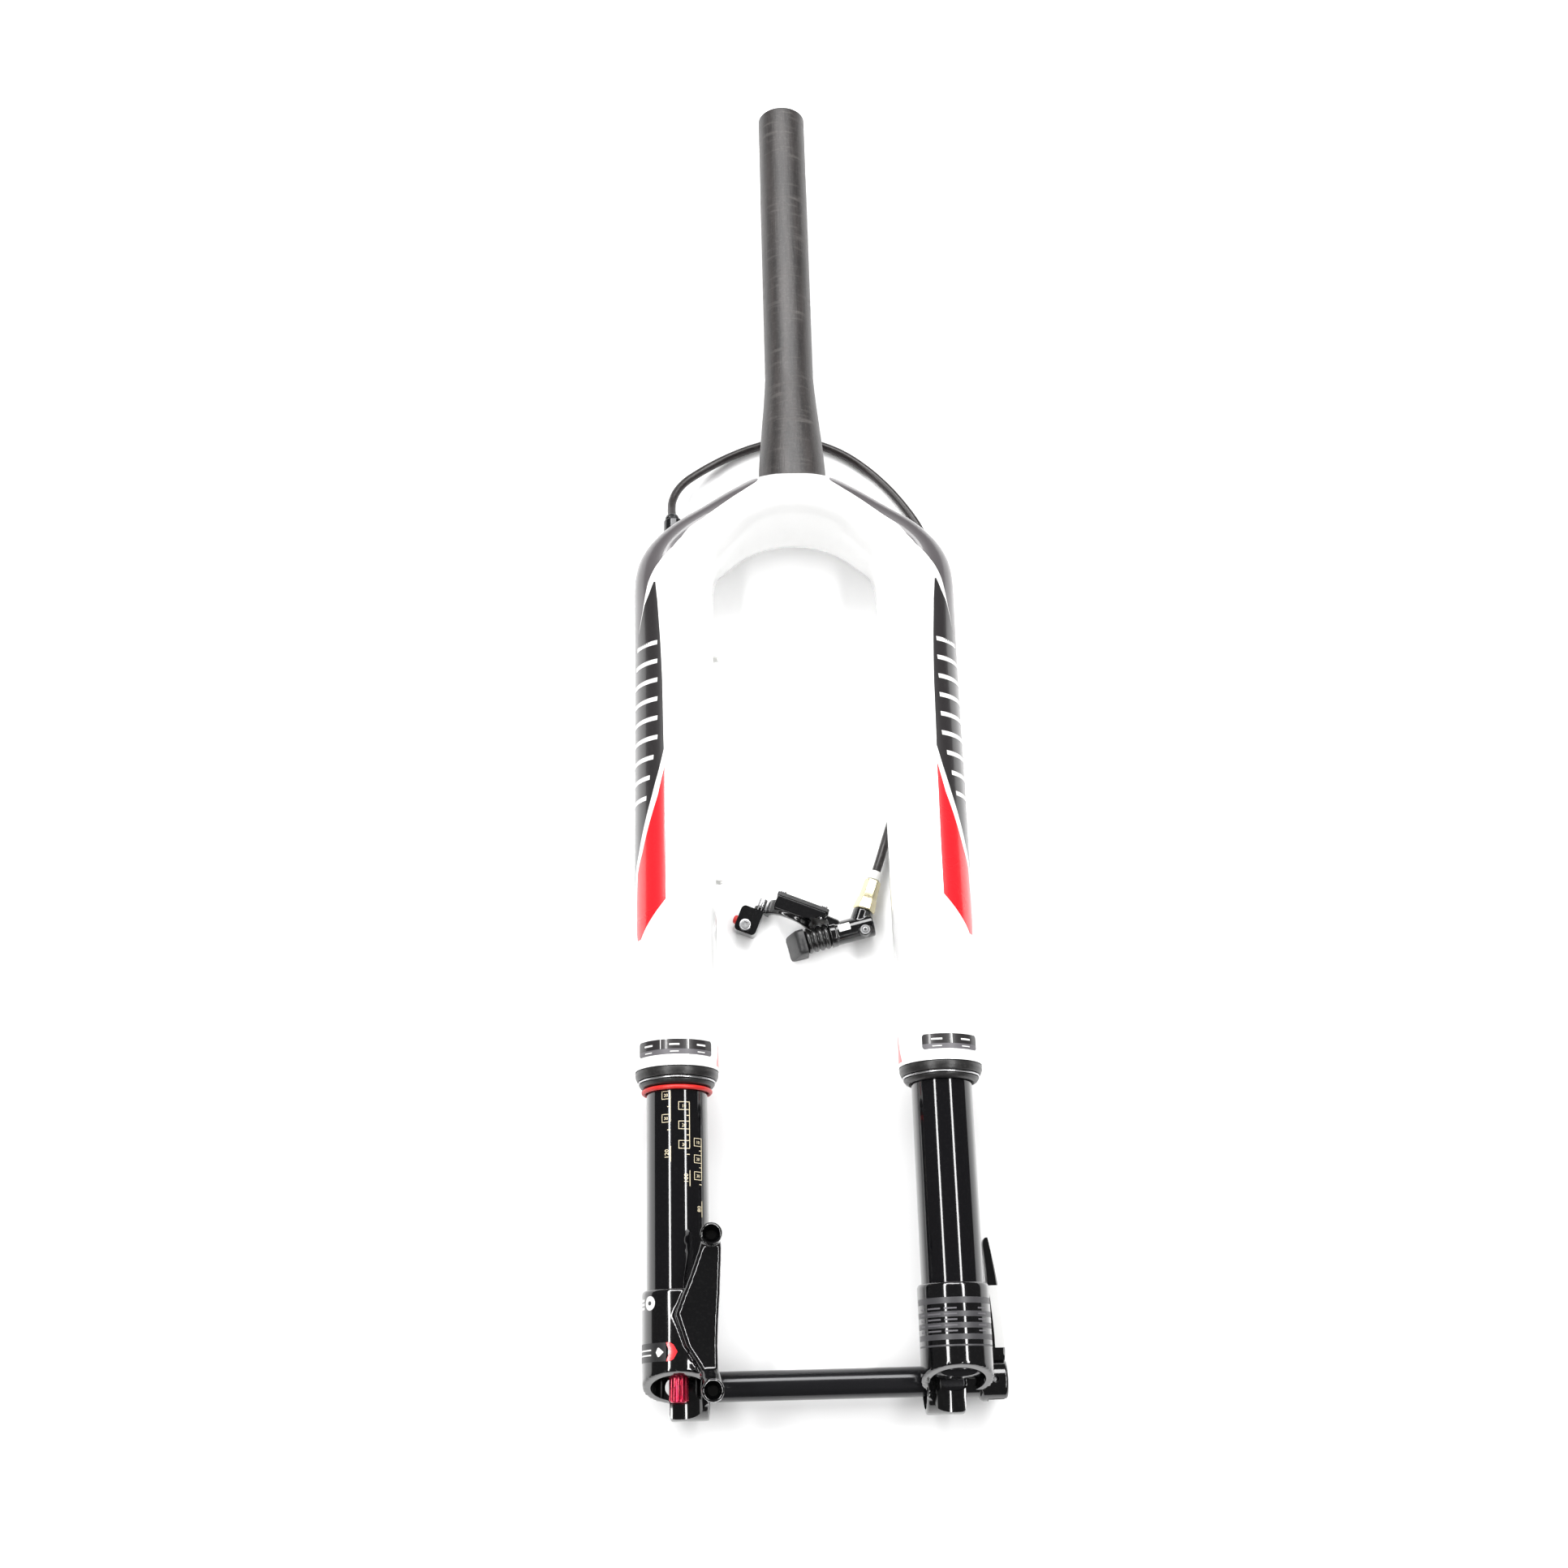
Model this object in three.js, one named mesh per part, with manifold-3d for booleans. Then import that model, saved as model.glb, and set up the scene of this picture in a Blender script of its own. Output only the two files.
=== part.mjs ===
// Upside-down air suspension fork for a 27.5 inch wheel, with a hydraulic lockout remote.
// The fork lies on its front on a bench: +Z is up, the steerer points along +Y, +X is the drive side.
// Inside the fork's own group Y runs up the steerer, Y = 0 is the bearing seat and +Z is the rear.
// All lengths are in millimetres.
import * as THREE from "three";
import { mergeVertices } from "three/addons/utils/BufferGeometryUtils.js";
import Module from "manifold-3d";

const wasm = await Module();
wasm.setup();

// ---------- driving dimensions ----------
const GAP = 0.3; // clearance between pieces that touch or slide
const ROUND = 24; // sides of the large round pieces
const SMALL_ROUND = 16; // sides of the small ones

// frame
const AXLE_TO_SEAT = 502;
const AXLE_OFFSET = 42; // the axle lies this far in front of the steerer
const LEG_SPACING = 140;
const LEG_OFFSET = 22; // the legs lie this far in front of the steerer
const TRAVEL = 100;
const HUB_WIDTH = 110;

// steerer
const STEERER_LENGTH = 255; // above the bearing seat
const STEERER_TOP_R = 14.3;
const STEERER_BASE_R = 19.4;
const STEERER_BORE_R = 11;
const STEERER_FOOT = -12; // it stands this deep in the crown
const RACE_R = 22.6; // the flat ring that the lower bearing's race sits on
const TAPER_END = 67;

// upper structure
const UPPER_WALL = 3.6;
const BUSHING_T = 2;
const SEAL_SEAT_WALL = 1.8; // what is left of the upper tube's wall around the seal
const UPPER_JOIN = -68; // the crown meets the upper tubes here
const UPPER_END = -344;
const CAP_SEAT = -30; // the top caps sit in counterbores this deep

// sliding legs
const STANCHION_R = 16;
const STANCHION_WALL = 2;
const STANCHION_TOP = -196;
const SEAL_DEPTH = 9;
const RING_T = 2.4;
const CASTING_WALL = 2.4;
const CASTING_SEAT = 28; // how deep a stanchion sits in its casting

// axle
const AXLE_R = 7.5;
const BOSS_R = 16.5;
const BOSS_T = 20;
const BOSS_OUT = 5; // the bosses reach at least this far outside the middle of the legs
const HUB_RECESS_R = 13.6;
const HUB_RECESS = 2; // how deep the hub's end caps sit in the bosses

// brake mount
const POST_SPACING = 74.2;
const POST_Y = -431.8;
const POST_FACE_Z = 14;
const POST_R = 5.6;
const POST_X = -52.5;
const POST_HOLE_R = 2.6;

// hose
const HOSE_R = 2.5;
const HOSE_SIDES = 8;
const HOSE_STEPS = 60;

// handlebar remote
const BAR_R = 11.1;

// ---------- values that follow ----------
const AXLE_Y = -AXLE_TO_SEAT;
const LEG_X = LEG_SPACING / 2;
const BORE_R = STANCHION_R - STANCHION_WALL;
const UPPER_BORE_R = STANCHION_R + BUSHING_T + 2 * GAP;
const UPPER_R = UPPER_BORE_R + UPPER_WALL;
const SEAL_SEAT_R = UPPER_R - SEAL_SEAT_WALL;
const CASTING_R = STANCHION_R + CASTING_WALL;
const SEAL_END = UPPER_END - SEAL_DEPTH;
const RING_TOP = SEAL_END - GAP;
const CASTING_TOP = RING_TOP - RING_T - TRAVEL - GAP;
const STANCHION_END = CASTING_TOP - CASTING_SEAT;
const FLOOR_Y = STANCHION_END - GAP; // the casting's inner floor
const FOOT_Y = FLOOR_Y - 8; // the underside of that floor
const HUB_FACE = HUB_WIDTH / 2;
const BOSS_END = Math.max(HUB_FACE + BOSS_T, LEG_X + BOSS_OUT);
const LEG_FRONT = LEG_OFFSET + UPPER_R;
// the crown end is carried by the hose, the axle end by the two dropouts
const TILT = Math.asin((BOSS_R + AXLE_OFFSET - LEG_FRONT - 2 * HOSE_R - 2 * GAP) / (AXLE_TO_SEAT - 20));
const LIFT = BOSS_R + AXLE_OFFSET * Math.cos(TILT) - AXLE_TO_SEAT * Math.sin(TILT);
const SHIFT = (AXLE_TO_SEAT + BOSS_R - STEERER_LENGTH) / 2;

// ---------- materials ----------
const finish = (color, roughness, metalness = 0) =>
  new THREE.MeshStandardMaterial({ color, roughness, metalness });
const look = {
  whitePaint: finish(0xf6f6f4, 0.25),
  bareCarbon: finish(0x1e1c1c, 0.55),
  blackAnodised: finish(0x0b0b0d, 0.18, 0.6),
  blackGloss: finish(0x070708, 0.12, 0.2),
  blackRubber: finish(0x141414, 0.6),
  blackPlastic: finish(0x1c1c1f, 0.45),
  redAnodised: finish(0xc0102a, 0.22, 0.8),
  redRubber: finish(0xc8221f, 0.5),
  steel: finish(0xb9bbbd, 0.3, 1),
  nickel: finish(0xd9d2ae, 0.22, 1),
  whitePlastic: finish(0xf2f2f0, 0.35),
  bronze: finish(0x8a6a3a, 0.5, 0.8),
  foam: finish(0x3a3a3a, 0.95),
  hose: finish(0x131214, 0.4),
};

// ---------- solids ----------
function toSolid(geometry) {
  const flat = geometry.index ? geometry.toNonIndexed() : geometry.clone();
  flat.deleteAttribute("normal");
  flat.deleteAttribute("uv");
  const merged = mergeVertices(flat, 1e-4);
  const solid = new wasm.Manifold(
    new wasm.Mesh({
      numProp: 3,
      vertProperties: merged.attributes.position.array,
      triVerts: new Uint32Array(merged.index.array),
    }),
  );
  return solid;
}

function toGeometry(solid) {
  const mesh = solid.getMesh();
  const geometry = new THREE.BufferGeometry();
  geometry.setAttribute("position", new THREE.BufferAttribute(new Float32Array(mesh.vertProperties), 3));
  geometry.setIndex(new THREE.BufferAttribute(new Uint32Array(mesh.triVerts), 1));
  return geometry;
}

const join = (...geometries) => toGeometry(geometries.map(toSolid).reduce((sum, next) => sum.add(next)));
const cut = (body, ...tools) =>
  toGeometry(tools.map(toSolid).reduce((rest, tool) => rest.subtract(tool), toSolid(body)));

// Turns a geometry by Euler angles in radians and then moves it.
function place(geometry, at = [0, 0, 0], turn = [0, 0, 0]) {
  const matrix = new THREE.Matrix4().makeRotationFromEuler(new THREE.Euler(...turn));
  return geometry.clone().applyMatrix4(matrix.setPosition(...at));
}

// A solid of revolution about Y from a closed profile of [radius, y] points.
function lathe(profile, sides = ROUND) {
  const area = profile.reduce((sum, [r, y], i) => {
    const [r2, y2] = profile[(i + 1) % profile.length];
    return sum + r * y2 - r2 * y;
  }, 0);
  const ordered = area > 0 ? profile : [...profile].reverse();
  const points = [...ordered, ordered[0]].map(([r, y]) => new THREE.Vector2(r, y));
  return new THREE.LatheGeometry(points, sides);
}

const rod = (r, y0, y1, sides = ROUND) =>
  place(new THREE.CylinderGeometry(r, r, y1 - y0, sides), [0, (y0 + y1) / 2, 0]);
const tube = (outer, inner, y0, y1, sides = ROUND) =>
  lathe([[inner, y0], [outer, y0], [outer, y1], [inner, y1]], sides);
const box = (x0, x1, y0, y1, z0, z1) =>
  place(new THREE.BoxGeometry(x1 - x0, y1 - y0, z1 - z0), [(x0 + x1) / 2, (y0 + y1) / 2, (z0 + z1) / 2]);

// A rod along X between two places.
const crossRod = (r, x0, x1, y, z, sides = ROUND) =>
  place(new THREE.CylinderGeometry(r, r, x1 - x0, sides), [(x0 + x1) / 2, y, z], [0, 0, -Math.PI / 2]);

// A plate whose outline lies in the Y-Z plane, with its thickness along X.
function sidePlate(outline, x0, x1) {
  const shape = new THREE.Shape(outline.map(([y, z]) => new THREE.Vector2(y, z)));
  const plate = new THREE.ExtrudeGeometry(shape, { depth: x1 - x0, bevelEnabled: false, curveSegments: 8 });
  const axes = new THREE.Matrix4().set(0, 0, 1, x0, 1, 0, 0, 0, 0, 1, 0, 0, 0, 0, 0, 1);
  return plate.applyMatrix4(axes);
}

// A closed skin over rings of points; every ring has the same number of points.
function loft(rings) {
  const count = rings[0].length;
  const middle = (ring) => ring.reduce((sum, p) => sum.add(p), new THREE.Vector3()).divideScalar(count);
  const points = [...rings.flat(), middle(rings[0]), middle(rings.at(-1))];
  const index = [];
  rings.slice(1).forEach((_, i) => {
    for (let j = 0; j < count; j++) {
      const [a, b] = [i * count + j, i * count + ((j + 1) % count)];
      index.push(a, b, b + count, a, b + count, a + count);
    }
  });
  const last = (rings.length - 1) * count;
  const start = rings.length * count;
  for (let j = 0; j < count; j++) {
    index.push(start, (j + 1) % count, j, start + 1, last + j, last + ((j + 1) % count));
  }
  return new THREE.BufferGeometry().setFromPoints(points).setIndex(index);
}

const parts = [];
function add(name, geometry, material, group) {
  const mesh = new THREE.Mesh(geometry, material);
  mesh.name = name;
  group.add(mesh);
  parts.push(mesh);
}

const bench = new THREE.Group();
const fork = new THREE.Group();
fork.rotation.x = -TILT;
fork.position.set(0, SHIFT, LIFT);
bench.add(fork);

// A group whose origin is on a leg's axis, level with the bearing seat. side is -1 left, 1 right.
function legGroup(side) {
  const group = new THREE.Group();
  group.position.set(side * LEG_X, 0, -LEG_OFFSET);
  fork.add(group);
  return group;
}
const legs = { left: legGroup(-1), right: legGroup(1) };

// ---------- upper structure ----------
function steererTube() {
  const outer = [
    [STEERER_BASE_R, STEERER_FOOT],
    [STEERER_BASE_R, 3],
    [STEERER_TOP_R, TAPER_END],
    [STEERER_TOP_R, STEERER_LENGTH - 0.6],
    [STEERER_TOP_R - 0.6, STEERER_LENGTH],
  ];
  return lathe([[STEERER_BORE_R, STEERER_FOOT], ...outer, [STEERER_BORE_R, STEERER_LENGTH]]);
}

const LEG_OUT = LEG_X + UPPER_R;
const LEG_IN = LEG_X - UPPER_R;
// Half the arch, from a leg to the middle: [x, y] of the outer and inner edge, then z middle and half depth.
const ARCH = [
  { outer: [LEG_OUT + 0.8, UPPER_JOIN], inner: [LEG_IN - 0.4, UPPER_JOIN], z: -LEG_OFFSET, depth: UPPER_R + 0.4 },
  { outer: [LEG_OUT + 0.2, -54], inner: [LEG_IN - 0.8, -59], z: -LEG_OFFSET, depth: UPPER_R + 0.8 },
  { outer: [LEG_OUT - 5.2, -40], inner: [LEG_IN - 4.2, -50], z: 0.5 - LEG_OFFSET, depth: UPPER_R + 1 },
  { outer: [LEG_X + 4, -27.5], inner: [LEG_X - 34, -40.5], z: 2.5 - LEG_OFFSET, depth: UPPER_R + 2.2 },
  { outer: [LEG_X - 16, -17], inner: [LEG_X - 44, -32.5], z: 6 - LEG_OFFSET, depth: UPPER_R + 4.2 },
  { outer: [36, -8], inner: [16, -29], z: -12, depth: 28.6 },
  { outer: [20, -2], inner: [7, -27.4], z: -9.5, depth: 30.6 },
  { outer: [0, -0.5], inner: [0, -27], z: -8.5, depth: 31.5 },
];
const ARCH_SQUARENESS = 0.72; // below 1 the section is squarer than an ellipse

function archRing({ outer, inner, z, depth }, mirror, sides = 24) {
  const ring = [];
  for (let i = 0; i < sides; i++) {
    const angle = (2 * Math.PI * i) / sides;
    const across = Math.sign(Math.cos(angle)) * Math.abs(Math.cos(angle)) ** ARCH_SQUARENESS;
    const up = Math.sign(Math.sin(angle)) * Math.abs(Math.sin(angle)) ** ARCH_SQUARENESS;
    const t = (1 + across) / 2;
    ring.push(
      new THREE.Vector3(
        mirror * (inner[0] + (outer[0] - inner[0]) * t),
        inner[1] + (outer[1] - inner[1]) * t,
        z + depth * up,
      ),
    );
  }
  return ring;
}

function crown() {
  const left = ARCH.map((section) => archRing(section, -1));
  const right = ARCH.slice(0, -1).map((section) => archRing(section, 1)).reverse();
  const arch = loft([...left, ...right]);
  const counterbores = [-LEG_X, LEG_X].flatMap((x) => [
    place(rod(16, CAP_SEAT, 30), [x, 0, -LEG_OFFSET]),
    place(rod(12.4, UPPER_JOIN - 5, CAP_SEAT + 1), [x, 0, -LEG_OFFSET]),
  ]);
  // the bore runs right through, and the steerer's foot stands in a ring-shaped seat
  const seat = tube(STEERER_BASE_R + GAP, STEERER_BORE_R - 2, STEERER_FOOT - GAP, 30);
  const bore = rod(STEERER_BORE_R, -60, 30);
  return cut(join(arch, rod(RACE_R, -20, 0)), seat, bore, ...counterbores);
}

function upperTube() {
  const top = UPPER_JOIN - GAP;
  return lathe([
    [UPPER_BORE_R, top],
    [UPPER_BORE_R, UPPER_END + SEAL_DEPTH],
    [SEAL_SEAT_R, UPPER_END + SEAL_DEPTH],
    [SEAL_SEAT_R, UPPER_END],
    [UPPER_R - 0.6, UPPER_END],
    [UPPER_R, UPPER_END + 2],
    [UPPER_R, top],
  ]);
}

const bushing = (y) => tube(UPPER_BORE_R - GAP, STANCHION_R + GAP, y, y + 20);
const foamRing = () =>
  tube(UPPER_BORE_R - GAP, STANCHION_R + GAP, UPPER_END + SEAL_DEPTH + 1, UPPER_END + SEAL_DEPTH + 9);
const GROOVE = { y: SEAL_END + 4.2, depth: STANCHION_R + 3.4, height: 1.6 };

function wiperSeal() {
  return lathe([
    [STANCHION_R + GAP, SEAL_END + 1.5],
    [STANCHION_R + 1.6, SEAL_END],
    [STANCHION_R + 2.9, SEAL_END + 0.8],
    [GROOVE.depth + 0.8, GROOVE.y - GROOVE.height],
    [GROOVE.depth, GROOVE.y - GROOVE.height],
    [GROOVE.depth, GROOVE.y],
    [GROOVE.depth + 1.6, GROOVE.y],
    [UPPER_R - 0.4, SEAL_END + 6.5],
    [UPPER_R - 0.4, UPPER_END - GAP],
    [SEAL_SEAT_R - GAP, UPPER_END - GAP],
    [SEAL_SEAT_R - GAP, UPPER_END + SEAL_DEPTH - GAP],
    [STANCHION_R + GAP, UPPER_END + SEAL_DEPTH - GAP],
  ]);
}
const sealSpring = () =>
  tube(GROOVE.depth + 1.3, GROOVE.depth + GAP, GROOVE.y - GROOVE.height + GAP, GROOVE.y - GAP);

// ---------- top caps ----------
const CAP_TOP = CAP_SEAT + 11;
function topCap() {
  const base = CAP_SEAT + GAP;
  const head = lathe([[0, base], [15.6, base], [15.6, CAP_TOP - 2], [14, CAP_TOP], [0, CAP_TOP]]);
  const socket = place(new THREE.CylinderGeometry(7, 7, 12, 6), [0, CAP_TOP + 2, 0]);
  return join(cut(head, socket), rod(12, UPPER_JOIN, CAP_SEAT + 1));
}

const SWIVEL = { r: 6, base: CAP_TOP - 3.7, top: CAP_TOP + 3.5 };
function hoseSwivel() {
  const hub = rod(SWIVEL.r, SWIVEL.base, SWIVEL.top, SMALL_ROUND);
  const neck = place(rod(3.6, 0, 9, SMALL_ROUND), [-0.5, CAP_TOP + 0.4, 0], [-0.5, 0, 0.05]);
  return join(hub, neck);
}

// ---------- damper, left leg ----------
const DAMPER = { r: 11, bore: 9.3, top: UPPER_JOIN - 6, end: -331, rod: 5, piston: -296 };
const damperCartridge = () => tube(DAMPER.r, DAMPER.bore, DAMPER.end, DAMPER.top);
const damperHead = () =>
  lathe([
    [0, DAMPER.top - 26],
    [DAMPER.bore - GAP, DAMPER.top - 26],
    [DAMPER.bore - GAP, DAMPER.top + GAP],
    [12, DAMPER.top + GAP],
    [12, UPPER_JOIN - GAP],
    [0, UPPER_JOIN - GAP],
  ]);
const damperGland = () => tube(DAMPER.bore - GAP, DAMPER.rod + GAP, DAMPER.end, DAMPER.end + 12);
const damperPiston = () => tube(DAMPER.bore - GAP, DAMPER.rod + GAP, DAMPER.piston, DAMPER.piston + 9);
const damperShaft = () => rod(DAMPER.rod, FOOT_Y - 1, DAMPER.piston + 16, SMALL_ROUND);

// ---------- air spring, right leg ----------
const AIR = { rod: 5, pistonR: BORE_R - GAP, piston: STANCHION_TOP - 32, head: STANCHION_TOP - 14 };
const airShaft = () => rod(AIR.rod, AIR.piston - 2, UPPER_JOIN - GAP, SMALL_ROUND);
const airPiston = () => tube(AIR.pistonR, AIR.rod + GAP, AIR.piston, AIR.piston + 9);
const topOutBumper = () => tube(9, AIR.rod + GAP, AIR.piston + 9 + GAP, AIR.head - GAP);
const airSealHead = () => tube(AIR.pistonR, AIR.rod + GAP, AIR.head, STANCHION_TOP - 1);

// ---------- sliding legs ----------
const stanchion = () => tube(STANCHION_R, BORE_R, STANCHION_END, STANCHION_TOP);
const sagRing = () => {
  const circle = new THREE.TorusGeometry(STANCHION_R + GAP + RING_T / 2, RING_T / 2, 8, ROUND);
  return place(circle, [0, RING_TOP - RING_T / 2, 0], [Math.PI / 2, 0, 0]);
};

const MOUTH_SLANT = -0.375; // radians by which the foot leans back
const HEAD_RECESS_R = 11;

// The barrel that takes the stanchion and the boss that takes the axle. side is -1 left, 1 right.
function casting(side) {
  const barrel = lathe([
    [0, AXLE_Y - 14],
    [CASTING_R, AXLE_Y - 14],
    [CASTING_R, CASTING_TOP - 4],
    [CASTING_R - 0.8, CASTING_TOP],
    [0, CASTING_TOP],
  ]);
  const boss = crossRod(BOSS_R, HUB_FACE, BOSS_END, AXLE_Y, 0);
  const toBoss = place(side > 0 ? boss : crossRod(BOSS_R, -BOSS_END, -HUB_FACE, AXLE_Y, 0), [
    -side * LEG_X,
    0,
    LEG_OFFSET - AXLE_OFFSET,
  ]);
  const inner = side * (HUB_FACE - LEG_X);
  const outer = side * (BOSS_END - LEG_X);
  const [x0, x1] = [Math.min(inner, outer), Math.max(inner, outer)];
  const web = sidePlate(
    [
      [AXLE_Y + 32, -10],
      [AXLE_Y + 6, LEG_OFFSET - AXLE_OFFSET - BOSS_R + 1.2],
      [AXLE_Y - 12, LEG_OFFSET - AXLE_OFFSET - 8],
      [AXLE_Y - 9, -4],
      [AXLE_Y + 10, 4],
    ],
    x0,
    x1,
  );
  // the foot is cut off at a slant that opens towards the rear
  const slant = place(box(-60, 60, -60, 0, -60, 60), [0, AXLE_Y - 1, 0], [MOUTH_SLANT, 0, 0]);
  const axleZ = LEG_OFFSET - AXLE_OFFSET;
  const keepFoot = join(toBoss, web);
  const body = join(cut(barrel, slant), keepFoot);
  const stanchionBore = rod(STANCHION_R + GAP, FLOOR_Y, CASTING_TOP + 5);
  const footRecess = rod(14.2, AXLE_Y - 40, FOOT_Y);
  const shaftHole = rod(DAMPER.rod + GAP, FOOT_Y - 5, FLOOR_Y + 5, SMALL_ROUND);
  const axleBore = crossRod(AXLE_R + GAP, -40, 40, AXLE_Y, axleZ);
  const headStart = side > 0 ? outer + GAP : 200;
  const headRecess = crossRod(HEAD_RECESS_R, headStart, headStart + 60, AXLE_Y, axleZ);
  const [hub0, hub1] = side > 0 ? [-40, inner + HUB_RECESS] : [inner - HUB_RECESS, 40];
  const recess = crossRod(HUB_RECESS_R, hub0, hub1, AXLE_Y, axleZ);
  return cut(body, stanchionBore, footRecess, shaftHole, axleBore, recess, headRecess);
}

// The brake mount: two posts on a gusset, on the inner rear side of the left casting.
// Each section of the gusset gives [left, right] across the leg and [front, rear] in depth.
const LOW_POST_Y = POST_Y - POST_SPACING;
const GUSSET = [
  { y: POST_Y + 3.5, x: [-56.6, -48.4], z: [0, 8] },
  { y: POST_Y - 6, x: [-58.6, -47.6], z: [-1.5, 8] },
  { y: POST_Y - 19, x: [-63.5, -48.2], z: [0.6, 5] },
  { y: CASTING_TOP - 1.5, x: [-66.2, -48.6], z: [-4.6, 4] },
  { y: CASTING_TOP - 3, x: [-67, -48.6], z: [-15, 3.6] },
  { y: CASTING_TOP - 13, x: [-71, -49.4], z: [-16, 1.5] },
  { y: CASTING_TOP - 28, x: [-66, -50.2], z: [-17, -1] },
  { y: LOW_POST_Y + 11, x: [-59, -50], z: [-16, -0.5] },
  { y: LOW_POST_Y + 4, x: [-57.4, -48.2], z: [-12, 6] },
  { y: LOW_POST_Y - 4, x: [-56.8, -48.4], z: [-8, 8] },
];
function brakeBracket() {
  const gusset = loft(
    GUSSET.map(({ y, x: [left, right], z: [front, rear] }) =>
      [
        [right, front],
        [right, rear - 1],
        [right - 1, rear],
        [left + 2, rear],
        [left, rear - 1.5],
        [left, front],
      ].map(([x, z]) => new THREE.Vector3(x + LEG_X, y, z + LEG_OFFSET)),
    ),
  );
  const atPost = (r, y, depth, sides) =>
    place(
      new THREE.CylinderGeometry(r, r, depth, sides),
      [POST_X + LEG_X, y, POST_FACE_Z + LEG_OFFSET - depth / 2],
      [Math.PI / 2, 0, 0],
    );
  const posts = [POST_Y, LOW_POST_Y].map((y) => atPost(POST_R, y, 13, SMALL_ROUND));
  const holes = [POST_Y, LOW_POST_Y].map((y) => place(atPost(POST_HOLE_R, y, 12, 12), [0, 0, 1]));
  return { solid: join(gusset, ...posts), holes };
}

function castingLeft() {
  const { solid, holes } = brakeBracket();
  const bore = rod(STANCHION_R + GAP, FLOOR_Y, CASTING_TOP + 60);
  const recess = rod(14.2, AXLE_Y - 40, FOOT_Y);
  return cut(join(casting(-1), cut(solid, bore, recess)), ...holes);
}

function footNut() {
  const nut = place(new THREE.CylinderGeometry(9, 9, 4, 6), [0, FOOT_Y - GAP - 2, 0]);
  return cut(nut, rod(DAMPER.rod + GAP, FOOT_Y - 10, FOOT_Y + 2, SMALL_ROUND));
}
const KNOB = { r: 5, length: 13 };
function reboundKnob() {
  const top = FOOT_Y - 4 - 2 * GAP;
  const knob = rod(KNOB.r, top - KNOB.length, top, SMALL_ROUND);
  const flutes = Array.from({ length: 10 }, (_, i) => {
    const angle = (Math.PI * i) / 5;
    const flute = rod(0.8, top - KNOB.length - 1, top + 1, 6);
    return place(flute, [(KNOB.r + 0.25) * Math.cos(angle), 0, (KNOB.r + 0.25) * Math.sin(angle)]);
  });
  return cut(knob, ...flutes);
}

const AIR_CAP = { r: 12.6, height: 7 };
const airValve = () =>
  lathe([
    [0, FOOT_Y - 5.5],
    [3.2, FOOT_Y - 5.5],
    [3.2, FLOOR_Y - 1],
    [4.6, FLOOR_Y + GAP],
    [BORE_R - GAP, FLOOR_Y + GAP + 1],
    [BORE_R - GAP, FLOOR_Y + 9],
    [0, FLOOR_Y + 9],
  ]);
function airCap() {
  const top = FOOT_Y - GAP;
  const cap = lathe([
    [0, top - 6],
    [3.8, top - 6],
    [3.8, top],
    [AIR_CAP.r, top],
    [AIR_CAP.r, top - AIR_CAP.height],
    [AIR_CAP.r - 2.5, top - AIR_CAP.height - 2],
    [0, top - AIR_CAP.height - 2.6],
  ]);
  return cut(cap, box(-14, 14, top - 14, top - AIR_CAP.height - 0.8, -1.6, 1.6));
}

// ---------- quick-release axle ----------
const PIVOT_X = LEG_X + CASTING_R + 1.8; // the lever turns just outside the casting
const HEAD = {
  start: BOSS_END + GAP,
  drum: PIVOT_X - 6.2,
  slot: PIVOT_X - 3.2,
  end: PIVOT_X + 6.8,
  neckR: 8.5,
  r: 10.5,
  slotHalf: 4.5,
};
const PIN_R = 1.5;
const ROD_R = 3.2;
const axleRod = (r, x0, x1, sides = ROUND) => crossRod(r, x0, x1, AXLE_Y, -AXLE_OFFSET, sides);
const pivotRod = (r, half) =>
  place(new THREE.CylinderGeometry(r, r, 2 * half, 12), [PIVOT_X, AXLE_Y, -AXLE_OFFSET], [Math.PI / 2, 0, 0]);

const axleTube = () =>
  cut(axleRod(AXLE_R, -BOSS_END, BOSS_END), axleRod(ROD_R + GAP, -BOSS_END - 5, BOSS_END + 5, SMALL_ROUND));
const drawRod = () => axleRod(ROD_R, -BOSS_END + 3, HEAD.slot - GAP, SMALL_ROUND);
function axleHead() {
  const { start, neckR, drum, slot, end, r, slotHalf } = HEAD;
  const blank = join(axleRod(neckR, start, drum + 1), axleRod(r, drum, end));
  const gap = box(slot, end + 5, AXLE_Y - 20, AXLE_Y + 20, -AXLE_OFFSET - slotHalf, -AXLE_OFFSET + slotHalf);
  return cut(blank, gap, axleRod(ROD_R + GAP, start - 5, slot + 5, SMALL_ROUND), pivotRod(PIN_R + GAP, 20));
}
const leverPin = () => pivotRod(PIN_R, 8.2);

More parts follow.
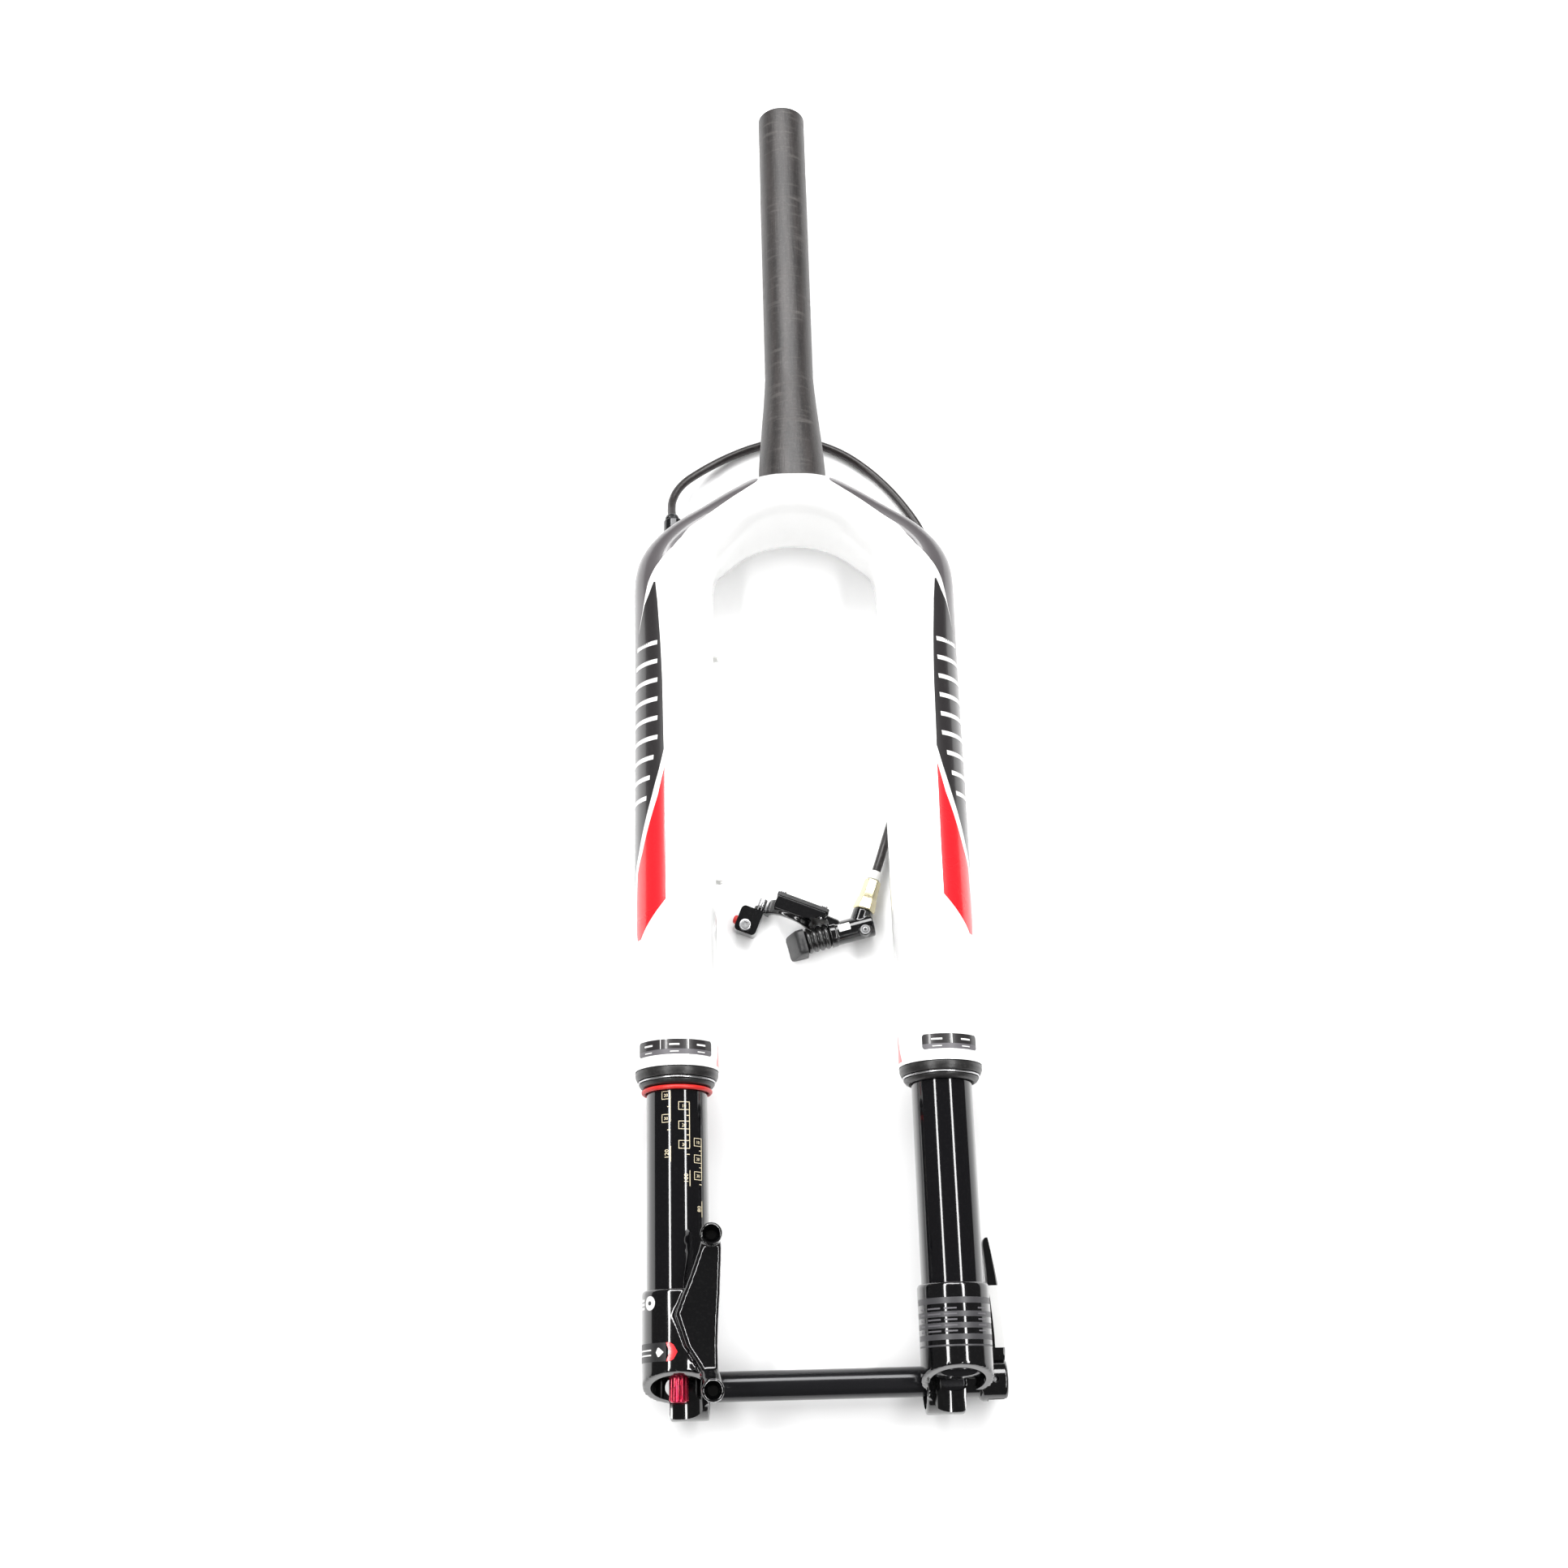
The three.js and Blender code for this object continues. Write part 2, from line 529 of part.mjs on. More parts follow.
const LEVER = { length: 71, half: 6.5, rootR: 2.9 };
function axleLever() {
  const side = new THREE.Shape();
  const [x, y] = [PIVOT_X, AXLE_Y];
  side.moveTo(x - LEVER.rootR, y);
  side.absarc(x, y, LEVER.rootR, Math.PI, 2 * Math.PI, false);
  side.quadraticCurveTo(x + 7.4, y + 2, x + 6.4, y + 26);
  side.quadraticCurveTo(x + 5.4, y + 52, x + 1.4, y + LEVER.length);
  side.quadraticCurveTo(x - 1.6, y + LEVER.length + 0.6, x - 1.8, y + LEVER.length - 4);
  side.quadraticCurveTo(x + 1.2, y + 38, x - 2.6, y + 12);
  side.closePath();
  const depth = 2 * LEVER.half;
  const blank = new THREE.ExtrudeGeometry(side, { depth, bevelEnabled: false, curveSegments: 6 });
  const body = place(blank, [0, 0, -AXLE_OFFSET - LEVER.half]);
  // the root is narrow enough to turn in the head's slot
  const cheeks = [-1, 1].map((s) => {
    const z = -AXLE_OFFSET + s * (HEAD.slotHalf - GAP + 5);
    return box(x - 8, x + 8, y - 12, y + 11.5, z - 5, z + 5);
  });
  return cut(body, pivotRod(PIN_R + GAP, 20), ...cheeks);
}

// ---------- brake-hose guides on the left upper tube ----------
const GUIDE = { r: 4.4, bore: 2.6, height: 15, x: UPPER_R, z: -15.6 };
function hoseGuide(y) {
  const clip = rod(GUIDE.r, y, y + GUIDE.height, SMALL_ROUND);
  const foot = box(-7, 0, y + 2, y + GUIDE.height - 2, -3, 3.4);
  const mouth = box(GUIDE.r - 2.2, GUIDE.r + 2, y - 1, y + GUIDE.height + 1, -1.6, 1.6);
  const bore = rod(GUIDE.bore, y - 1, y + GUIDE.height + 1, SMALL_ROUND);
  const shaped = place(cut(join(clip, foot), bore, mouth), [GUIDE.x, 0, GUIDE.z]);
  return cut(shaped, rod(UPPER_R + GAP, y - 5, y + GUIDE.height + 5));
}

// ---------- hose ----------
// The hose leaves the left top cap, sinks to the bench in front of the steerer,
// passes under the right leg and comes back between the legs to the remote.
const HOSE_ROUTE = [
  [-70.96, 120.84, 23.16],
  [-71.18, 124.9, 20.84],
  [-71.3, 129.1, 18.5],
  [-70.9, 135.4, 15.8],
  [-68.4, 143, 13.6],
  [-63.5, 150.5, 11.3],
  [-56, 157.6, 8.8],
  [-47, 164.6, 6.4],
  [-36, 171.6, 4.3],
  [-23, 177.8, 2.9],
  [-9, 181.8, 2.6],
  [5, 182.6, 2.6],
  [19, 180, 2.6],
  [33, 173.6, 2.6],
  [46, 164, 2.6],
  [58, 152, 2.6],
  [69, 137.6, 2.6],
  [78, 122, 2.6],
  [83.6, 105, 2.6],
  [86, 87, 2.6],
  [85.8, 68, 2.6],
  [83.4, 48, 2.6],
  [79.2, 28, 2.6],
  [74, 6, 2.6],
  [68.2, -16, 2.6],
  [62, -37, 2.6],
  [56, -55, 2.8],
  [51, -70, 4.8],
  [47.2, -81.6, 7.6],
  [44.5, -89.8, 8.7],
  [42.29, -96.06, 8.8],
];
const hosePoints = HOSE_ROUTE.map((point) => new THREE.Vector3(...point));
const hoseCurve = new THREE.CatmullRomCurve3(hosePoints, false, "centripetal");
function hose() {
  const section = new THREE.Shape();
  for (let i = 0; i <= HOSE_SIDES; i++) {
    const angle = (2 * Math.PI * i) / HOSE_SIDES;
    section[i ? "lineTo" : "moveTo"](HOSE_R * Math.cos(angle), HOSE_R * Math.sin(angle));
  }
  const sweep = { steps: HOSE_STEPS, bevelEnabled: false, extrudePath: hoseCurve };
  return new THREE.ExtrudeGeometry(section, sweep);
}

// ---------- handlebar remote ----------
// In the barrel's frame Y runs along the cylinder, from the elbow towards the thumb button.
const BARREL = { at: [34.2, -127.9, 8.8], turn: 104, r: 6.6, back: 5, bore: 3.8, floor: 1.5, mouth: 20 };
// In the clamp's frame Y runs along the handlebar and Z = 0 is the bench.
const CLAMP = { at: [0.2, -116.6, 0], turn: -22 };
const SADDLE = { x: -5.5, z: 1.8, r: 14, back: -1, front: -9.6 };
const TANK = { left: -15, right: 14, bottom: 1.2, top: 17.5 };
const HINGE = { x: -22.4, z: 4.4, r: 3.4, pin: 1.5, back: -7 };
const JAW = { left: -32, right: -19.5, front: -25, back: SADDLE.front - GAP, top: 10 };
const BOLT = { x: -26.4, y: -21, r: 2, head: 3.2 };
const BLEED = { y: 0.6, side: -3.2, r: 3.2, top: 15.4, plug: 1.5 };
const inFrame = ({ at, turn }) => (geometry) => place(geometry, at, [0, 0, THREE.MathUtils.degToRad(turn)]);
const inBarrel = inFrame(BARREL);
const inClamp = inFrame(CLAMP);
const barRod = (r, y0, y1, sides) => place(rod(r, y0, y1, sides), [SADDLE.x, 0, SADDLE.z]);
const upright = (r, x, y, z0, z1, sides = 12) =>
  place(new THREE.CylinderGeometry(r, r, z1 - z0, sides), [x, y, (z0 + z1) / 2], [Math.PI / 2, 0, 0]);

// A block with this outline in the X-Y plane.
function slab(outline, z0, z1) {
  const shape = new THREE.Shape(outline.map(([x, y]) => new THREE.Vector2(x, y)));
  return place(new THREE.ExtrudeGeometry(shape, { depth: z1 - z0, bevelEnabled: false }), [0, 0, z0]);
}

// The hose joint stands on the elbow and points along this way on the bench.
const ELBOW_TURN = -19.5;
const elbowAt = new THREE.Vector3(0, 3.6, 0).applyMatrix4(
  new THREE.Matrix4().makeRotationZ(THREE.MathUtils.degToRad(BARREL.turn)).setPosition(...BARREL.at),
);
const inElbow = inFrame({ at: elbowAt.toArray(), turn: ELBOW_TURN });
const ELBOW_LENGTH = 10.2;
const NUT_LENGTH = 18.6;

const coverScrewX = [-12.6, 11.6];
function remoteBody() {
  const barrel = inBarrel(rod(BARREL.r, -BARREL.back, BARREL.mouth, SMALL_ROUND));
  const elbow = inElbow(rod(5.8, 0, ELBOW_LENGTH, SMALL_ROUND));
  const { left, right, bottom, top } = TANK;
  const tankOutline = [[left, -7.2], [3.4, -7.2], [9.5, -4.4], [right, -2], [right, 0], [left, 0]];
  const tank = inClamp(slab(tankOutline, bottom, top));
  const shoulderOutline = [[9, -4.4], [15, -2.6], [18, -7], [25, -5.2], [21.6, -0.6], [12, 0]];
  const shoulder = inClamp(slab(shoulderOutline, 3.4, 14.4));
  const saddle = inClamp(barRod(SADDLE.r, SADDLE.front, SADDLE.back));
  const hingeEye = inClamp(place(rod(HINGE.r, SADDLE.front, HINGE.back, SMALL_ROUND), [HINGE.x, 0, HINGE.z]));
  const arm = box(HINGE.x, SADDLE.x - 9, SADDLE.front, HINGE.back, HINGE.z - 2.4, HINGE.z + 2.4);
  const hingeArm = inClamp(arm);
  const bleedTop = BLEED.top - BARREL.at[2];
  const bleedBoss = inBarrel(upright(BLEED.r, BLEED.side, BLEED.y, -1, bleedTop, SMALL_ROUND));
  const underBench = box(-80, 80, -200, 0, -40, 0.6);
  const bar = inClamp(barRod(BAR_R + GAP, -40, 20));
  const cylinder = inBarrel(rod(BARREL.bore, BARREL.floor, BARREL.mouth + 5, SMALL_ROUND));
  const bleedHole = inBarrel(upright(BLEED.plug + GAP, BLEED.side, BLEED.y, 3, 12));
  const oilSpace = inClamp(box(7.4, 9.6, -3, 4, 3.4, 15));
  const pinHole = inClamp(place(rod(HINGE.pin + GAP, -40, 0, 12), [HINGE.x, 0, HINGE.z]));
  const screwHoles = coverScrewX.map((x) => inClamp(place(rod(1 + GAP, -5, 4, 12), [x, 0, 15])));
  const body = join(barrel, elbow, tank, shoulder, saddle, hingeEye, hingeArm, bleedBoss);
  return cut(body, underBench, bar, cylinder, bleedHole, oilSpace, pinHole, ...screwHoles);
}

function reservoirCover() {
  const plate = box(TANK.left - 0.5, TANK.right + 0.8, GAP, GAP + 2, TANK.bottom - 0.6, TANK.top + 0.6);
  const lip = box(7.4 + GAP, 9.6 - GAP, -1.5, 1, 3.4 + GAP, 15 - GAP);
  const holes = coverScrewX.map((x) => place(rod(1 + GAP, -8, 8, 12), [x, 0, 15]));
  return inClamp(cut(join(plate, lip), barRod(BAR_R + 2 * GAP, -40, 20), ...holes));
}
function coverScrew(x) {
  const shank = rod(1, -4, 3, 12);
  const head = rod(1.9, 2 + 2 * GAP, 3.9, 12);
  return inClamp(place(join(shank, head), [x, 0, 15]));
}

function clampJaw() {
  const { left, right, front, back, top } = JAW;
  const corner = 2.2;
  const block = slab(
    [
      [left + corner, front],
      [right - corner, front],
      [right, front + corner],
      [right, back],
      [left + corner, back],
      [left, back - corner],
      [left, front + corner],
    ],
    0.9,
    top,
  );
  const scoop = place(rod(BAR_R + GAP, -40, 20), [(left + right) / 2, 0, -8.6]);
  const pinHole = place(rod(HINGE.pin + GAP, -20, 0, 12), [HINGE.x, 0, HINGE.z]);
  const boltHole = upright(BOLT.r + GAP, BOLT.x, BOLT.y, -5, 20);
  const plugHole = crossRod(2.6 + GAP, left - 5, left + 3, -18.6, 5.6, SMALL_ROUND);
  return inClamp(cut(block, scoop, pinHole, boltHole, plugHole));
}
function hingePin() {
  const pin = join(rod(HINGE.pin, -19.7, -5, 12), rod(2.3, HINGE.back + GAP, -1.6, SMALL_ROUND));
  return inClamp(place(pin, [HINGE.x, 0, HINGE.z]));
}
const jawPlug = () =>
  inClamp(crossRod(2.6, JAW.left - 2.4, JAW.left + 3 - GAP, -18.6, 5.6, SMALL_ROUND));
function clampBolt() {
  const shank = upright(BOLT.r, BOLT.x, BOLT.y, 1, 12);
  const head = upright(BOLT.head, BOLT.x, BOLT.y, JAW.top + GAP, JAW.top + 2.8, SMALL_ROUND);
  const socket = upright(1.8, BOLT.x, BOLT.y, JAW.top + 1.2, JAW.top + 5, 6);
  return inClamp(cut(join(shank, head), socket));
}

// thumb button: a paddle on a plunger, with a bellows round it
const BELLOWS = { start: BARREL.mouth + GAP, folds: 4, pitch: 3.4, inner: 5 };
const BELLOWS_END = BELLOWS.start + BELLOWS.folds * BELLOWS.pitch;
function bellows() {
  const outline = [[BELLOWS.inner, BELLOWS.start]];
  for (let i = 0; i < BELLOWS.folds; i++) {
    const y = BELLOWS.start + i * BELLOWS.pitch;
    outline.push([5.8, y], [7, y + BELLOWS.pitch * 0.5]);
  }
  outline.push([5.8, BELLOWS_END], [BELLOWS.inner, BELLOWS_END]);
  return inBarrel(lathe(outline, SMALL_ROUND));
}
const PISTON = { start: 10.2, length: 2.8 };
function thumbButton() {
  const plunger = rod(BARREL.bore - GAP, PISTON.start + PISTON.length + GAP, BELLOWS_END + 4, SMALL_ROUND);
  const side = new THREE.Shape();
  side.moveTo(-7.8, BELLOWS_END + GAP);
  side.lineTo(7.6, BELLOWS_END + GAP);
  side.quadraticCurveTo(8.4, BELLOWS_END + 3, 6.8, BELLOWS_END + 5);
  side.quadraticCurveTo(0, BELLOWS_END + 8, -6.4, BELLOWS_END + 10);
  side.quadraticCurveTo(-8.2, BELLOWS_END + 8, -8, BELLOWS_END + 3);
  const pad = new THREE.ExtrudeGeometry(side, { depth: 14.4, bevelEnabled: false, curveSegments: 4 });
  // the outline's X becomes the height, so that the thumb face leans back towards the top
  const paddle = place(pad, [6.4, 0, 0], [0, -Math.PI / 2, 0]);
  return inBarrel(join(plunger, paddle));
}
const masterPiston = () =>
  inBarrel(rod(BARREL.bore - GAP, PISTON.start, PISTON.start + PISTON.length, SMALL_ROUND));
function bleedScrew() {
  const top = BLEED.top - BARREL.at[2];
  const plug = upright(BLEED.plug, BLEED.side, BLEED.y, 3 + GAP, top + 0.4);
  const socket = upright(0.8, BLEED.side, BLEED.y, top - 1.4, top + 2, 6);
  return inBarrel(cut(plug, socket));
}
function hoseNut() {
  const start = ELBOW_LENGTH + GAP;
  const large = place(new THREE.CylinderGeometry(5.4, 6.4, 7.5, 6), [0, start + 3.75, 0]);
  const smallLength = NUT_LENGTH - 7;
  const smallMiddle = start + 7 + smallLength / 2;
  const small = place(new THREE.CylinderGeometry(4.6, 5.2, smallLength, 6), [0, smallMiddle, 0]);
  const bore = rod(HOSE_R + GAP, start - 1, start + NUT_LENGTH + 2, SMALL_ROUND);
  return inElbow(cut(join(large, small), bore));
}
const hoseFerrule = () => {
  const start = ELBOW_LENGTH + NUT_LENGTH + 2 * GAP;
  return inElbow(tube(3.6, HOSE_R + GAP, start, start + 5, SMALL_ROUND));
};

// ---------- assembly ----------
add("steerer_tube", steererTube(), look.bareCarbon, fork);
add("crown", crown(), look.whitePaint, fork);
for (const side of ["left", "right"]) {
  const leg = legs[side];
  add(`upper_tube_${side}`, upperTube(), look.whitePaint, leg);
  add(`upper_bushing_${side}`, bushing(STANCHION_TOP - 28), look.bronze, leg);
  add(`lower_bushing_${side}`, bushing(UPPER_END + 20), look.bronze, leg);
  add(`foam_ring_${side}`, foamRing(), look.foam, leg);
  add(`wiper_seal_${side}`, wiperSeal(), look.blackRubber, leg);
  add(`seal_spring_${side}`, sealSpring(), look.steel, leg);
  add(`top_cap_${side}`, topCap(), look.blackAnodised, leg);
  add(`stanchion_${side}`, stanchion(), look.blackAnodised, leg);
}
add("hose_swivel", hoseSwivel(), look.blackAnodised, legs.left);
add("damper_head", damperHead(), look.steel, legs.left);
add("damper_cartridge", damperCartridge(), look.steel, legs.left);
add("damper_gland", damperGland(), look.steel, legs.left);
add("damper_piston", damperPiston(), look.steel, legs.left);
add("damper_shaft", damperShaft(), look.steel, legs.left);
add("sag_ring", sagRing(), look.redRubber, legs.left);
add("casting_left", castingLeft(), look.blackGloss, legs.left);
add("foot_nut_left", footNut(), look.steel, legs.left);
add("rebound_knob", reboundKnob(), look.redAnodised, legs.left);
add("hose_guide_top", hoseGuide(-98), look.whitePlastic, legs.left);
add("hose_guide_bottom", hoseGuide(-234), look.whitePlastic, legs.left);

add("air_shaft", airShaft(), look.steel, legs.right);
add("air_piston", airPiston(), look.blackPlastic, legs.right);
add("top_out_bumper", topOutBumper(), look.blackRubber, legs.right);
add("air_seal_head", airSealHead(), look.steel, legs.right);
add("casting_right", casting(1), look.blackGloss, legs.right);
add("air_valve", airValve(), look.steel, legs.right);
add("air_cap", airCap(), look.blackAnodised, legs.right);

add("axle_tube", axleTube(), look.blackAnodised, fork);
add("axle_head", axleHead(), look.blackAnodised, fork);
add("draw_rod", drawRod(), look.steel, fork);
add("lever_pin", leverPin(), look.steel, fork);
add("axle_lever", axleLever(), look.blackGloss, fork);

add("remote_hose", hose(), look.hose, bench);
add("remote_body", remoteBody(), look.blackGloss, bench);
add("reservoir_cover", reservoirCover(), look.blackPlastic, bench);
coverScrewX.forEach((x, i) => add(`cover_screw_${i + 1}`, coverScrew(x), look.steel, bench));
add("hinge_pin", hingePin(), look.steel, bench);
add("clamp_jaw", clampJaw(), look.blackGloss, bench);
add("clamp_bolt", clampBolt(), look.steel, bench);
add("jaw_plug", jawPlug(), look.redRubber, bench);
add("bellows", bellows(), look.blackRubber, bench);
add("thumb_button", thumbButton(), look.blackPlastic, bench);
add("master_piston", masterPiston(), look.steel, bench);
add("bleed_screw", bleedScrew(), look.steel, bench);
add("hose_nut", hoseNut(), look.nickel, bench);
add("hose_ferrule", hoseFerrule(), look.whitePlastic, bench);

export default bench;
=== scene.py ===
import math
import bmesh
import bpy
from mathutils import Matrix, Vector


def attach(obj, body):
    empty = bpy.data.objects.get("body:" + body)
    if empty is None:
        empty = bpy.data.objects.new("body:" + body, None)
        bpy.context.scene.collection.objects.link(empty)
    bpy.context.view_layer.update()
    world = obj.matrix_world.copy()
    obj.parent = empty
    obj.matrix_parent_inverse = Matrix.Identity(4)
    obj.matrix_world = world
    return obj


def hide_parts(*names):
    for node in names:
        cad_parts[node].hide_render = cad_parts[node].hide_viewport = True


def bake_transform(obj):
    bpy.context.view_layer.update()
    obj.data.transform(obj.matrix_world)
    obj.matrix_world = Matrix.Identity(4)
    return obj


# Upside-down suspension fork lying on its front, with a lockout remote on its hose.
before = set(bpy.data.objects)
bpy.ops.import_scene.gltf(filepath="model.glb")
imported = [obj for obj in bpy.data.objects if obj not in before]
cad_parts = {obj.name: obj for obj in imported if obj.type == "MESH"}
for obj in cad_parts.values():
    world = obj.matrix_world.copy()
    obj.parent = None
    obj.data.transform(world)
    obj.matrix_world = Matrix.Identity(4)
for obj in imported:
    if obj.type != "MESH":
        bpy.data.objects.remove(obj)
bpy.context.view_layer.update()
print("frame loaded:", len(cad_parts), "nodes")

mm = 0.001
lie = {"tilt": 0.01805077, "shift": 131.75, "lift": 49.43216}  # how the fork lies on the bench
legX, legZ, axleY, axleZ = 70.0, -22.0, -502.0, -42.0  # in the fork's own frame, in mm
upperEnd, castingTop, footY = -344.0, -456.0, -492.3


# places on the fork, on the bench and on the remote
def forkPoint(x, y, z):
    c, s = math.cos(lie["tilt"]), math.sin(lie["tilt"])
    return Vector((x, y * c + z * s + lie["shift"], -y * s + z * c + lie["lift"])) * mm


def legPlace(side):
    return lambda x, y, z: forkPoint(side * legX + x, y, z + legZ)


def benchPlace(at, degrees):
    c, s = math.cos(math.radians(degrees)), math.sin(math.radians(degrees))
    return lambda x, y, z: Vector((at[0] + x * c - y * s, at[1] + x * s + y * c, at[2] + z)) * mm


def shifted(place, dx, dy, dz):
    return lambda x, y, z: place(x + dx, y + dy, z + dz)


clampPlace = benchPlace((0.2, -116.6, 0), -22)
barrelPlace = benchPlace((34.2, -127.9, 8.8), 104)
elbowAt = barrelPlace(0, 3.6, 0) / mm
elbowPlace = benchPlace(elbowAt, -19.5)


# shader groups
def put(tree, kind, inputs=None, **settings):
    made = tree.nodes.new(kind)
    for key, value in settings.items():
        setattr(made, key, value)
    for key, value in (inputs or {}).items():
        if isinstance(value, bpy.types.NodeSocket):
            tree.links.new(value, made.inputs[key])
        else:
            made.inputs[key].default_value = value
    return made


def calc(tree, operation, a, b=0.0, clamp=False):
    return put(tree, "ShaderNodeMath", {0: a, 1: b}, operation=operation, use_clamp=clamp).outputs[0]


def mixColours(tree, factor, a, b):
    # slots 6, 7 and 2 are the mix node's colour sockets
    return put(tree, "ShaderNodeMix", {0: factor, 6: a, 7: b}, data_type="RGBA").outputs[2]


def nodeGroup(treeKind, name, inputs, outputs):
    tree = bpy.data.node_groups.new(name, treeKind)
    for label, kind, value in inputs:
        socket = tree.interface.new_socket(name=label, in_out="INPUT", socket_type=kind)
        if value is not None:
            socket.default_value = value
    for label, kind in outputs:
        tree.interface.new_socket(name=label, in_out="OUTPUT", socket_type=kind)
    return tree, tree.nodes.new("NodeGroupInput").outputs, tree.nodes.new("NodeGroupOutput").inputs


def objectNoise(tree, scale, detail=3.0, stretch=(1, 1, 1)):
    coords = put(tree, "ShaderNodeTexCoord").outputs["Object"]
    mapped = put(tree, "ShaderNodeMapping", {"Vector": coords, "Scale": stretch}).outputs[0]
    return put(tree, "ShaderNodeTexNoise", {"Vector": mapped, "Scale": scale, "Detail": detail}).outputs[0]


floatSocket, colourSocket, geometrySocket = "NodeSocketFloat", "NodeSocketColor", "NodeSocketGeometry"
black, white = (0, 0, 0, 1), (1, 1, 1, 1)


def makeGrain():
    tree, given, out = nodeGroup(
        "ShaderNodeTree",
        "surfaceGrain",
        [("Scale", floatSocket, 400.0), ("Roughness", floatSocket, 0.3), ("Variation", floatSocket, 0.1)],
        [("Roughness", floatSocket), ("Height", floatSocket), ("Mottle", floatSocket)],
    )
    fine = objectNoise(tree, given["Scale"])
    coarse = objectNoise(tree, calc(tree, "MULTIPLY", given["Scale"], 0.06), 4.0)
    spread = calc(tree, "MULTIPLY", calc(tree, "SUBTRACT", coarse, 0.5), given["Variation"])
    tree.links.new(calc(tree, "ADD", given["Roughness"], spread, True), out["Roughness"])
    tree.links.new(fine, out["Height"])
    tree.links.new(coarse, out["Mottle"])
    return tree


def makeEdgeWear():
    tree, given, out = nodeGroup(
        "ShaderNodeTree",
        "edgeWear",
        [("Base", colourSocket, black), ("Worn", colourSocket, white), ("Amount", floatSocket, 0.3)],
        [("Color", colourSocket)],
    )
    ridge = put(tree, "ShaderNodeNewGeometry").outputs["Pointiness"]
    ridge = put(tree, "ShaderNodeMapRange", {0: ridge, 1: 0.53, 2: 0.62}).outputs[0]
    patchy = put(tree, "ShaderNodeMapRange", {0: objectNoise(tree, 160.0, 5.0), 1: 0.45, 2: 0.65}).outputs[0]
    mask = calc(tree, "MULTIPLY", calc(tree, "MULTIPLY", ridge, patchy), given["Amount"], True)
    tree.links.new(mixColours(tree, mask, given["Base"], given["Worn"]), out["Color"])
    return tree


def makeDust():
    tree, given, out = nodeGroup(
        "ShaderNodeTree",
        "dustFilm",
        [("Base", colourSocket, black), ("Dust", colourSocket, white), ("Amount", floatSocket, 0.1)],
        [("Color", colourSocket)],
    )
    normal = put(tree, "ShaderNodeNewGeometry").outputs["Normal"]
    upward = put(tree, "ShaderNodeSeparateXYZ", {0: normal}).outputs[2]
    upward = put(tree, "ShaderNodeMapRange", {0: upward, 1: 0.1, 2: 1.0}).outputs[0]
    specks = put(tree, "ShaderNodeMapRange", {0: objectNoise(tree, 700.0, 2.0), 1: 0.52, 2: 0.7}).outputs[0]
    mask = calc(tree, "MULTIPLY", calc(tree, "MULTIPLY", upward, specks), given["Amount"], True)
    tree.links.new(mixColours(tree, mask, given["Base"], given["Dust"]), out["Color"])
    return tree


def makeCarbonPly():
    tree, given, out = nodeGroup(
        "ShaderNodeTree",
        "carbonPly",
        [("Fibre", colourSocket, black), ("Resin", colourSocket, white), ("Scuffed", colourSocket, white)],
        [("Color", colourSocket), ("Height", floatSocket), ("Roughness", floatSocket)],
    )
    tows = objectNoise(tree, 90.0, 6.0, (3.0, 0.35, 3.0))
    strands = objectNoise(tree, 900.0, 2.0, (3.0, 0.08, 3.0))
    scuffs = objectNoise(tree, 130.0, 6.0, (0.4, 3.0, 0.4))
    blend = calc(tree, "ADD", calc(tree, "MULTIPLY", tows, 0.7), calc(tree, "MULTIPLY", strands, 0.3))
    blend = put(tree, "ShaderNodeMapRange", {0: blend, 1: 0.35, 2: 0.65}).outputs[0]
    scuffMask = put(tree, "ShaderNodeMapRange", {0: scuffs, 1: 0.56, 2: 0.72, 4: 0.55}).outputs[0]
    colour = mixColours(tree, blend, given["Fibre"], given["Resin"])
    tree.links.new(mixColours(tree, scuffMask, colour, given["Scuffed"]), out["Color"])
    tree.links.new(strands, out["Height"])
    tree.links.new(calc(tree, "ADD", 0.42, calc(tree, "MULTIPLY", scuffMask, 0.25)), out["Roughness"])
    return tree


grainGroup, wearGroup, dustGroup, carbonGroup = makeGrain(), makeEdgeWear(), makeDust(), makeCarbonPly()


# finishes
def fillGroup(tree, group, inputs):
    return put(tree, "ShaderNodeGroup", inputs, node_tree=group).outputs


def rgba(colour):
    return (*colour, 1.0)


finishes = {}
# what all the finishes share; mottle is how much darker the second tone is
shared = {"coatRoughness": 0.06, "mottle": 0.86, "dustColour": (0.55, 0.53, 0.5, 1), "relief": 0.0002}


